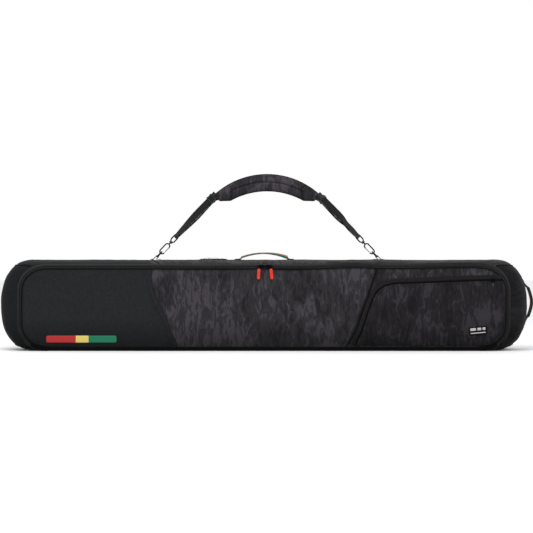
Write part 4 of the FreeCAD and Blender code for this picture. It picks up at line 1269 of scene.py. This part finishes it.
def lid_decal(name, x0, x1, z0, z1, material, lift, thick, corner, tilt=0.0, centre=None):
    """A thin rounded patch that follows the lid's face, turned by tilt about a centre."""
    mid_x, mid_z = (x0 + x1) / 2, (z0 + z1) / 2
    half_x, half_z = (x1 - x0) / 2, (z1 - z0) / 2
    cx, cz = centre or (mid_x, mid_z)
    u = np.linspace(-1, 1, max(6, int((x1 - x0) / 4)))[None, :]
    v = np.linspace(-1, 1, max(5, int((z1 - z0) / 3)))[:, None]
    in_corner = np.clip((np.abs(v) - 1 + corner / half_z) / (corner / half_z), 0, 1)
    flat_x = mid_x + half_x * u * (1 - corner / half_x * in_corner ** 2 * 0.7) - cx
    flat_z = mid_z + half_z * v * np.ones_like(u) - cz
    a = math.radians(tilt)
    gx = cx + flat_x * math.cos(a) - flat_z * math.sin(a)
    gz = cz + flat_x * math.sin(a) + flat_z * math.cos(a)
    return sheet_on_lid(name, gx, gz, lift + thick, lift - 0.4, material)


def low_line(inset):
    """The outline at an inset below the zip's ends, from left to right along the base."""
    count = 900
    points = resample(loop(0.0, inset)[1:-1], count)
    corner = int(np.argmax(zip_share(count)))
    straight = np.linspace(points[-1], points[0], 132)[1:-1]
    return np.vstack([points[-corner:], straight, points[:corner]])


def hinge_strip(m):
    """The cloth that joins the lid to the base along the bottom."""
    rim, edge = low_line(0.2), low_line(12.4)
    rim_y = -83.2
    lid_edge = lid_y(edge[:, 0], edge[:, 1]) + 0.15
    rows = [xyz(rim[:, 0], HINGE_ROOM - RIM_Y, rim[:, 1] + 0.1)]
    for share in (0.0, 0.07, 0.18, 0.34, 0.56, 0.79, 1.0):
        line = rim * (1 - share) + edge * share
        y = rim_y + (lid_edge - rim_y) * math.sin(share * math.pi / 2) ** 0.8
        rows.append(xyz(line[:, 0], y, line[:, 1]))
    outer = np.array(rows)
    # The strip's near-black cloth is painted shade: it stands in for the dark shadow along the
    # base.
    cloth_strip = slab("base_strip", outer, outer + (0, 1.5, 0.3), outer[..., [0, 2]] * MM,
                       m["piping"])
    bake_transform(cloth_strip)
    tell(cloth_strip, "coated_black")


# Sliders, pulls, handles, card window

def slider_look(name, x, z, face_y, length, bail_x, m):
    """A rounded slider body with a raised bridge for the pull."""
    place = np.array([x, face_y - 1.5, z])
    body = plate(name + "_body", rounded(length, 9.0, 3.6), place, (1, 0, 0), (0, 0, 1), 3.0, 0.9,
                 m["slider"])
    across = np.linspace(0, math.pi, 14)
    rise = face_y - 2.6 - 4.4 * np.sin(across) ** 0.7
    bridge = tube(name + "_bridge", xyz(bail_x - 4.2 * np.cos(across), rise, z), 1.1, m["slider"])
    return joined(name, [body, bridge])


def pull_look(name, x, z, bar_y, width, length, splay, material, m):
    """A moulded pull on a cord loop, with grip ridges and a cut-off end."""
    top, tip, half = -7.0, -length, width / 2
    outline = [(-half * 0.62, top), (-half, top - 5), (-half, tip + 2.5), (-half + 1.6, tip),
               (half - 1.6, tip - 1.2), (half, tip + 1.5), (half, top - 5), (half * 0.62, top)]
    a = math.radians(splay)
    x_dir = np.array([math.cos(a), 0, math.sin(a)])
    z_dir = np.array([-math.sin(a), 0, math.cos(a)])
    place = np.array([x, bar_y, z])
    parts = [plate(name + "_tab", ring_of(np.array(outline), 48), place, x_dir, z_dir, 2.6, 0.9,
                   material)]
    for k in range(4):
        depth = top - 9 - k * 3.2
        if depth >= tip + 5:
            side = np.linspace(-half * 0.62, half * 0.62, 5)[:, None]
            rib = place + (0, -1.35, 0) + side * x_dir + depth * z_dir
            parts.append(tube(f"{name}_rib_{k}", rib, 0.55, material, 6))
    swing = np.linspace(0, 2 * math.pi, 26, endpoint=False)[:, None]
    cord = place + np.cos(swing) * 2.2 * x_dir + (np.sin(swing) * 5.2 - 3.6) * z_dir
    parts.append(tube(name + "_loop", cord, 0.95, m["piping"], 8, closed=True))
    return joined(name, parts)


def build_sliders(m):
    z = RIM["top"] - SLIT_INSET
    for name, x, bail_x, splay in (("left", -8.2, -14.5, -3.0), ("right", 15.2, 21.5, 5.0)):
        slider = slider_look("slider_" + name, x, z, SLIDER_FACE_Y, 21.6, bail_x, m)
        put(slider, "main_slider_" + name, "slider_black", "main_slider_" + name)
        pull = pull_look("pull_" + name, bail_x, z, SLIDER_FACE_Y - PULL_FORWARD, PULL_WIDTH,
                         PULL_LENGTH, splay, m["red"], m)
        put(pull, "main_pull_" + name, "pull_red", "main_pull_" + name)
    low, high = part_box("pocket_slider")
    x, _, z = (low + high) / 2 / MM
    face_y = high.y / MM
    slider = slider_look("slider_pocket", x, z, face_y, 13.0, x, m)
    put(slider, "pocket_slider", "slider_black", "pocket_slider")
    pull = pull_look("pull_pocket", x, z, face_y - 7.0, 7.0, 18.0, -4.0, m["grey"], m)
    put(pull, "pocket_pull", "pull_grey", "pocket_pull")


def build_top_handle(m):
    """One length of striped webbing: flat on the bag, up, over and down again."""
    left, right, axis, rise, lean = TOP_HANDLE.values()
    half = (right - left) / 2
    radius = (half ** 2 + rise ** 2) / (2 * rise)
    sweep = math.asin(half / radius)
    points = [(left + dx, 0, z) for dx, z in TOP_FOOT]
    tilts = [0.0] * len(TOP_FOOT)
    for a in np.linspace(-sweep, sweep, 31):
        height = radius * math.cos(a) - (radius - rise)
        points.append((left + half + radius * math.sin(a), -math.sin(math.radians(lean)) * height,
                       axis + math.cos(math.radians(lean)) * height))
        u = math.sin(a) / math.sin(sweep)
        tilts.append(math.radians(lean + 20.0 * max(0.0, u) - 6.0 * min(0.0, u)))
    points += [(right - dx, 0, z) for dx, z in reversed(TOP_FOOT)]
    tilts += [0.0] * len(TOP_FOOT)
    count = 120
    path = resample(smooth_line(points, count), count)
    at = np.linspace(0, 1, count)
    steps = np.linspace(0, 1, len(tilts))
    across = xyz(0.0, np.interp(at, steps, np.cos(tilts)), np.interp(at, steps, np.sin(tilts)))
    piece = ribbon("top_grab_handle", path, across, HANDLE_WEB, 2.8, m["stripe_web"],
                   HANDLE_SEGMENTS)
    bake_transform(piece)
    tell(piece, "stripe_webbing", "top_handle", "top_handle_anchors")
    rows, covers = [], []
    for k, x in enumerate((left - 12, right + 12)):
        # The covers take the top gusset's darker copy of the camouflage: painted shade.
        covers.append(plate(f"handle_cover_{k}", rounded(19.0, 30.0, 3.0), np.array([x, 0, 282.3]),
                            (1, 0, 0), (0, 1, 0), 1.8, 0.7, m["camo_top"]))
        box = [(x + 7.5 * u, 12.0 * v, BOX_STITCH_Z) for u, v in CORNERS + CORNERS[:1]]
        rows.append(pale_row("handle_box_stitch", resample(box, 90), 3.4, m))
    put(joined("top_handle_covers", covers), "root", "camo_fabric")
    put(joined("top_handle_stitches", rows), "root", "coated_black")


def build_end_handle(m):
    """One length of striped webbing on the right end, bowed out between its sewn ends."""
    low, high, axis, rise, lean = END_HANDLE.values()
    foot = [(surface_x(z) + lift, 0, z) for z, lift in ((low - 26, 1.2), (low - 14, 1.3))]
    points = foot + [(axis - 4.5, 0, low - 3)]
    for u in np.linspace(-1, 1, 25):
        points.append((axis + rise * (1 - abs(u) ** 1.6), 0, low + (high - low) / 2 * (1 + u)))
    foot = [(surface_x(z) + lift, 0, z) for z, lift in ((high + 14, 1.3), (high + 26, 1.2))]
    points += [(axis - 4.5, 0, high + 3)] + foot
    count = 110
    t = np.linspace(0, 1, count)
    turn = np.radians(lean) * np.clip(np.minimum(t, 1 - t) / 0.2, 0, 1)
    across = xyz(-np.sin(turn), np.cos(turn), 0.0)
    path = smooth_line(points, count)
    piece = ribbon("end_grab_handle", path, across, HANDLE_WEB, 2.0, m["stripe_web"],
                   HANDLE_SEGMENTS)
    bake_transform(piece)
    tell(piece, "stripe_webbing", "end_handle", "end_handle_anchors")
    rows = []
    for z0, z1 in ((low - 24, low - 9), (high + 9, high + 24)):
        corners = [(-9, z0), (9, z0), (9, z1), (-9, z1), (-9, z0), (9, z1)]
        box = resample([(surface_x(z) + 2.6, y, z) for y, z in corners], 80)
        box[:, 0] = [surface_x(z) + 2.6 for z in box[:, 2]]
        rows.append(pale_row("end_box_stitch", box, 3.2, m))
    put(joined("end_handle_stitches", rows), "root", "stripe_webbing")


def build_card_window(m):
    """A clear domed window over a blank card, bound with thin piping."""
    left, right = WINDOW_X
    cx = (left + right) / 2
    gx, gy = np.meshgrid(np.linspace(left + 3, right - 3, 24),
                         np.linspace(3 - WINDOW_HALF, WINDOW_HALF - 3, 16))
    dome = (1 - ((gx - cx) / 40) ** 4).clip(0) * (1 - (gy / 23) ** 2).clip(0)
    up, down = xyz(gx, gy, WINDOW_Z + 1.2 + 4.8 * dome), xyz(gx, gy, WINDOW_Z + 0.8 + 4.7 * dome)
    uv = xyz(gx, gy) * MM
    put(slab("id_window", up, down, uv, m["vinyl"]), "root", "window_clear", "card_window")
    card = xyz(gx * 0.94 + cx * 0.06, gy * 0.9, WINDOW_Z + 0.5 + 3.8 * dome)
    put(slab("id_card", card, card - (0, 0, 0.4), uv, m["card"]), "root", "window_clear")
    x, y = ring_of(rounded(right - left - 3, 2 * WINDOW_HALF - 3, 5.0, 7), 119).T
    binding = tube("id_window_binding", xyz(x + cx, y, WINDOW_Z + 0.3), 2.2, m["piping"],
                   closed=True, flat=0.45)
    put(binding, "root", "piping", "card_window_frame")
    row = xyz(x * 0.985 + cx, y * 0.975, WINDOW_Z + 1.9)
    sew("id_window_stitches", row, 4.0, m["thread"], "root", "piping", length=2.6, radius=0.35)


# Shoulder strap

def strap_axes(side):
    """Where the strap meets the bag, and the directions up it and out of its curve."""
    base = np.array([STRAP_X + side * STRAP_HALF, 0, STRAP_Z])
    along = np.array([-side * math.cos(SLOPE), 0, math.sin(SLOPE)])
    outer = np.array([side * math.sin(SLOPE), 0, math.cos(SLOPE)])
    return base, along, outer


def web_across(side, twist):
    """The direction across the webbing where it's twisted by an angle."""
    return strap_axes(side)[2] * math.cos(twist) + ACROSS_BAG * math.sin(twist)


def build_webbing(name, side, m):
    """One length of webbing: from the pad down, round the eye's bar, and back up to the glide."""
    base, along, _ = strap_axes(side)

    def bellied(start, end, count, gap, belly, top):
        return [(s, gap + belly * math.sin(math.pi * (s - EYE_S) / (top - EYE_S)) ** 2)
                for s in np.linspace(start, end, count)]

    line = bellied(PAD_S + 10, EYE_S + 6, 44, 1.15, 1.3, PAD_S)
    line += [(EYE_S - 3.2 * math.sin(a), 3.2 * math.cos(a))
             for a in np.linspace(0.1, math.pi - 0.1, 12)]
    line += bellied(EYE_S + 6, WEB_END_S, 40, -1.15, -1.9, WEB_END_S)
    points, widths = [], []
    for s, off in line:
        twist = math.radians(np.interp(s, (EYE_S, TURN_S), (EYE_TWIST, GLIDE_TWIST)))
        if side > 0:
            twist += math.radians(9.0) * math.exp(-((s - 150.0) / 16.0) ** 2)
        across = web_across(side, twist)
        points.append(base + along * s + np.cross(along, across) * off)
        widths.append(across)
    piece = ribbon("strap_web_" + name, points, widths, STRAP_WEB, 1.5, m["black_web"], 14)
    put(piece, "strap", "black_webbing", "strap_webbing_" + name)


def arc(end_x, end_z, crest, count):
    """An arc over the strap's middle, left to right, as (x, z)."""
    rise = crest - end_z
    r = (end_x ** 2 + rise ** 2) / (2 * rise)
    sweep = math.asin(min(1.0, end_x / r))
    a = np.linspace(-sweep, sweep, count)
    return xyz(STRAP_X + r * np.sin(a), crest - r + r * np.cos(a))


def pad_curves(inset, count):
    """Top and bottom edges of the pad, left to right, as (x, z)."""
    top = arc(PAD_TOP[0] - inset, PAD_TOP[1] - inset, PAD_TOP_CREST - inset, count)
    low = arc(PAD_LOW[0], PAD_LOW[1] + inset, PAD_LOW_CREST + inset, count - 20)
    half, z = PAD_LOW_CORNER[0] - inset, PAD_LOW_CORNER[1] + inset
    left_end = np.linspace((STRAP_X - half, z), low[0], 11)[:-1]
    right_end = np.linspace(low[-1], (STRAP_X + half, z), 11)[1:]
    return top, resample(np.vstack([left_end, low, right_end]), count)


def positions(piece):
    """A piece's points in millimetres."""
    return np.array([v.co for v in piece.data.vertices]) / MM


def pad_shell(m):
    """The pad's crowned banana form, swollen by a cloth simulation with its edge held."""
    cols, rows = 72, 13
    top, low = pad_curves(1.4, cols)
    share = packed(rows, 0.5)[:, None, None]
    flat = low[None] * (1 - share) + top[None] * share
    along = np.linspace(0, 1, cols)[None, :]
    ends = np.clip(np.minimum(along, 1 - along) / 0.05, 0, 1) ** 0.6
    depth = 2.4 + 4.6 * np.sin(math.pi * share[..., 0]) ** 0.45 * (0.35 + 0.65 * ends)
    x, z = flat[..., 0], flat[..., 1]
    pad = slab("pad_body", xyz(x, -depth, z), xyz(x, depth, z), flat * MM, m["pad_camo"])
    before = positions(pad)
    edge = np.zeros((2, rows, cols), bool)
    edge[:, [0, -1], :] = True
    edge[:, :, [0, -1]] = True
    move = simulate(pad, frames=20, pressure=4.0, stiffness=15.0, pins=edge) - before
    size = np.linalg.norm(move, axis=1)
    move *= (np.minimum(size, 2.5) / np.maximum(size, 1e-6))[:, None]
    pad.data.vertices.foreach_set("co", ((before + move) * MM).ravel())
    pad.modifiers.new("divide", "SUBSURF").levels = 2
    depsgraph = bpy.context.evaluated_depsgraph_get()
    mesh = bpy.data.meshes.new_from_object(pad.evaluated_get(depsgraph))
    pad.modifiers.clear()
    pad.data = mesh
    return pad


PAD_SEAMS = {
    "seam": smooth_line([(-108, 492), (-90, 504), (-32, 522), (10, 525.5), (55, 521), (100, 506),
                         (124, 494)], 80),
    "left_end": smooth_line([(-110, 517), (-100, 500), (-101, 475)], 24),
    "right_end": smooth_line([(132, 517), (119.5, 501), (121, 474)], 24),
}


def build_pad(m):
    """The padded cover with its sewn lines pressed in, its mesh back, binding and stitches."""
    pad = pad_shell(m)
    co = positions(pad)
    x, z = co[:, 0], co[:, 2]
    front = co[:, 1] < 0
    press = 3.2 * np.exp(-(distance_to(x, z, PAD_SEAMS["seam"]) / 3.4) ** 2)
    for end in ("left_end", "right_end"):
        press = np.maximum(press, crease(x, z, PAD_SEAMS[end], 2.6, 3.0))
    press *= np.clip((np.abs(co[:, 1]) - 2.5) / 3.0, 0, 1)
    co[:, 1] += np.where(front, press, 0)
    co[:, 1] += np.where(front, 1, -1) * 0.8 * ripple(x, z, 51, 7, 0.01, 0.04)
    pad.data.vertices.foreach_set("co", (co * MM).ravel())
    while pad.data.uv_layers:
        pad.data.uv_layers.remove(pad.data.uv_layers[0])
    set_uv(pad.data, co[:, [0, 2]] * MM + 5.3)
    shade(pad.data)
    pad.data.materials.append(m["spacer"])
    for face in pad.data.polygons:
        if face.normal.y > 0.35:
            face.material_index = 1
    put(pad, "strap", "camo_fabric", "pad_cover", "pad_foam", "pad_backing", fill=0.8)

    top, low = pad_curves(0.9, 120)
    x, z = ring_of(np.vstack([low, top[::-1]]), 299).T
    put(tube("pad_binding", xyz(x, 0.0, z), 1.9, m["piping"], closed=True), "strap", "piping")
    for name, line in PAD_SEAMS.items():
        sew(f"pad_{name}_stitches", on_pad(co, line), 4.0, m["piping"], "strap", "piping",
            length=3.9, radius=0.8)
    top, low = pad_curves(6.5, 120)
    ring = resample(np.vstack([low, top[::-1], low[:1]]), 320)
    sew("pad_edge_stitches", on_pad(co, ring), 4.4, m["thread"], "strap", "camo_fabric")


def on_pad(co, line):
    """A line of (x, z) laid on the front of the pad's points."""
    front = co[co[:, 1] < 0]
    y = []
    for x, z in line:
        nearest = np.argsort((front[:, 0] - x) ** 2 + (front[:, 2] - z) ** 2)[:4]
        y.append(front[nearest, 1].mean() - 0.2)
    return xyz(line[:, 0], np.array(y), line[:, 1])


def build_pad_tab(name, side, m):
    """A stitched cloth triangle at one end of the pad, over the webbing."""
    base, along, _ = strap_axes(side)
    half = web_across(side, math.radians(GLIDE_TWIST)) * TAB_HALF_WIDTH
    end = base + along * GLIDE_S
    far_low, far_high = sorted((end - half, end + half), key=lambda point: point[2])
    near_low, near_high = (np.array([STRAP_X + side * x, -2.0, z]) + along * 8.0
                           for x, z in (TAB_LOW, TAB_HIGH))
    s = np.linspace(0, 1, 9)[:, None, None]
    t = np.linspace(0, 1, 9)[None, :, None]
    near_line = near_low * (1 - s) + near_high * s
    far_line = far_low * (1 - s) + far_high * s
    grid = near_line * (1 - t) + far_line * t
    thick = (np.sin(math.pi * s) * 2.0 + 3.0) * (1 - t) + 1.5
    front, back = grid - ACROSS_BAG * thick, grid + ACROSS_BAG * thick
    piece = slab("pad_tab_" + name, front, back, grid[..., [0, 2]] * MM, m["pad_camo"])
    put(piece, "strap", "camo_fabric", *(["pad_end_tabs"] if side < 0 else []))
    row = front[1:-1, 3] - (0, 0.4, 0)
    sew("pad_tab_stitches_" + name, row, 3.0, m["thread"], "strap", "camo_fabric", length=2.4)


def build_glide(name, side, m):
    """A slide on the webbing: a rounded frame whose ends pass over the webbing and a bar under
    it."""
    base, along, _ = strap_axes(side)
    across = web_across(side, math.radians(GLIDE_TWIST))
    through = np.cross(along, across)
    centre = base + along * GLIDE_S
    flat = ring_of(rounded(17.0, 42.4, 5.0, 7), 71)
    lift = 3.4 * np.clip((np.abs(flat[:, :1]) - 4.0) / 3.5, 0, 1)
    path = centre + flat[:, :1] * along + flat[:, 1:] * across + lift * through
    ring = tube(f"glide_{name}_ring", path, 1.75, m["plastic"], closed=True)
    t = np.linspace(-1, 1, 15)[:, None]
    dip = -3.6 * np.clip((1 - np.abs(t)) * 6, 0, 1)
    path = centre + t * 21.0 * across + dip * through
    piece = joined("glide_" + name, [ring, tube(f"glide_{name}_bar", path, 1.6, m["plastic"])])
    put(piece, "tri_glide_" + name, "glide_black", "tri_glide_" + name)


def build_ring_tab(name, side, m):
    """A webbing loop that holds a D-ring, sewn to the top."""
    base, along, _ = strap_axes(side)
    low, high = base + along * 2.0, base + along * 9.5
    radius = 3.6
    beside = np.array([-along[2], 0, along[0]]) * radius
    feet = []
    for sign in (1, -1):
        x = low[0] + sign * beside[0]
        feet.append([(low[0] - sign * 16, 282.3), (low[0] - sign * 9.5, 282.4),
                     (x, max(283.2, low[2] + sign * beside[2]))])
    over = [high + beside * math.cos(a) + along * radius * math.sin(a)
            for a in np.linspace(0, math.pi, 13)]
    line = smooth_line(feet[0] + [(point[0], point[2]) for point in over] + feet[1][::-1], 60)
    points = xyz(line[:, 0], 0.0, line[:, 1])
    across = np.tile(ACROSS_BAG, (len(points), 1))
    piece = ribbon("ring_loop_" + name, points, across, 22.5, 1.5, m["black_web"], 10)
    put(piece, "root", "black_webbing", "ring_tab_" + name)
    y = np.linspace(-9, 9, 12)
    rows = [pale_row("ring_row", xyz(low[0] + x, y, 283.3), 3.0, m) for x in (-12.5, 12.5)]
    put(joined("ring_loop_stitches_" + name, rows), "root", "black_webbing")


METAL_LOOKS = {
    "d_ring_": ("metal", "hook_black"),
    "hook_body_": ("metal", "hook_black"),
    "hook_eye_": ("metal", "hook_black"),
    "gate_pin_": ("steel", "gate_steel"),
    "hook_gate_": ("steel", "gate_steel"),
}


def finish_nodes(m):
    """Metal CAD nodes keep their shape and get their finish."""
    for prefix, (look, slot) in METAL_LOOKS.items():
        for name, _ in SIDES:
            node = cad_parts[prefix + name]
            node.data.materials.clear()
            node.data.materials.append(m[look])
            shade(node.data)


studio()
materials = make_materials()
RELIEF = lid_relief()
for build in (build_tray, build_lid, build_sliders, build_top_handle, build_end_handle,
              build_card_window):
    build(materials)
for strap_name, strap_side in SIDES:
    build_webbing(strap_name, strap_side, materials)
build_pad(materials)
for build in (build_pad_tab, build_glide, build_ring_tab):
    for strap_name, strap_side in SIDES:
        build(strap_name, strap_side, materials)
finish_nodes(materials)
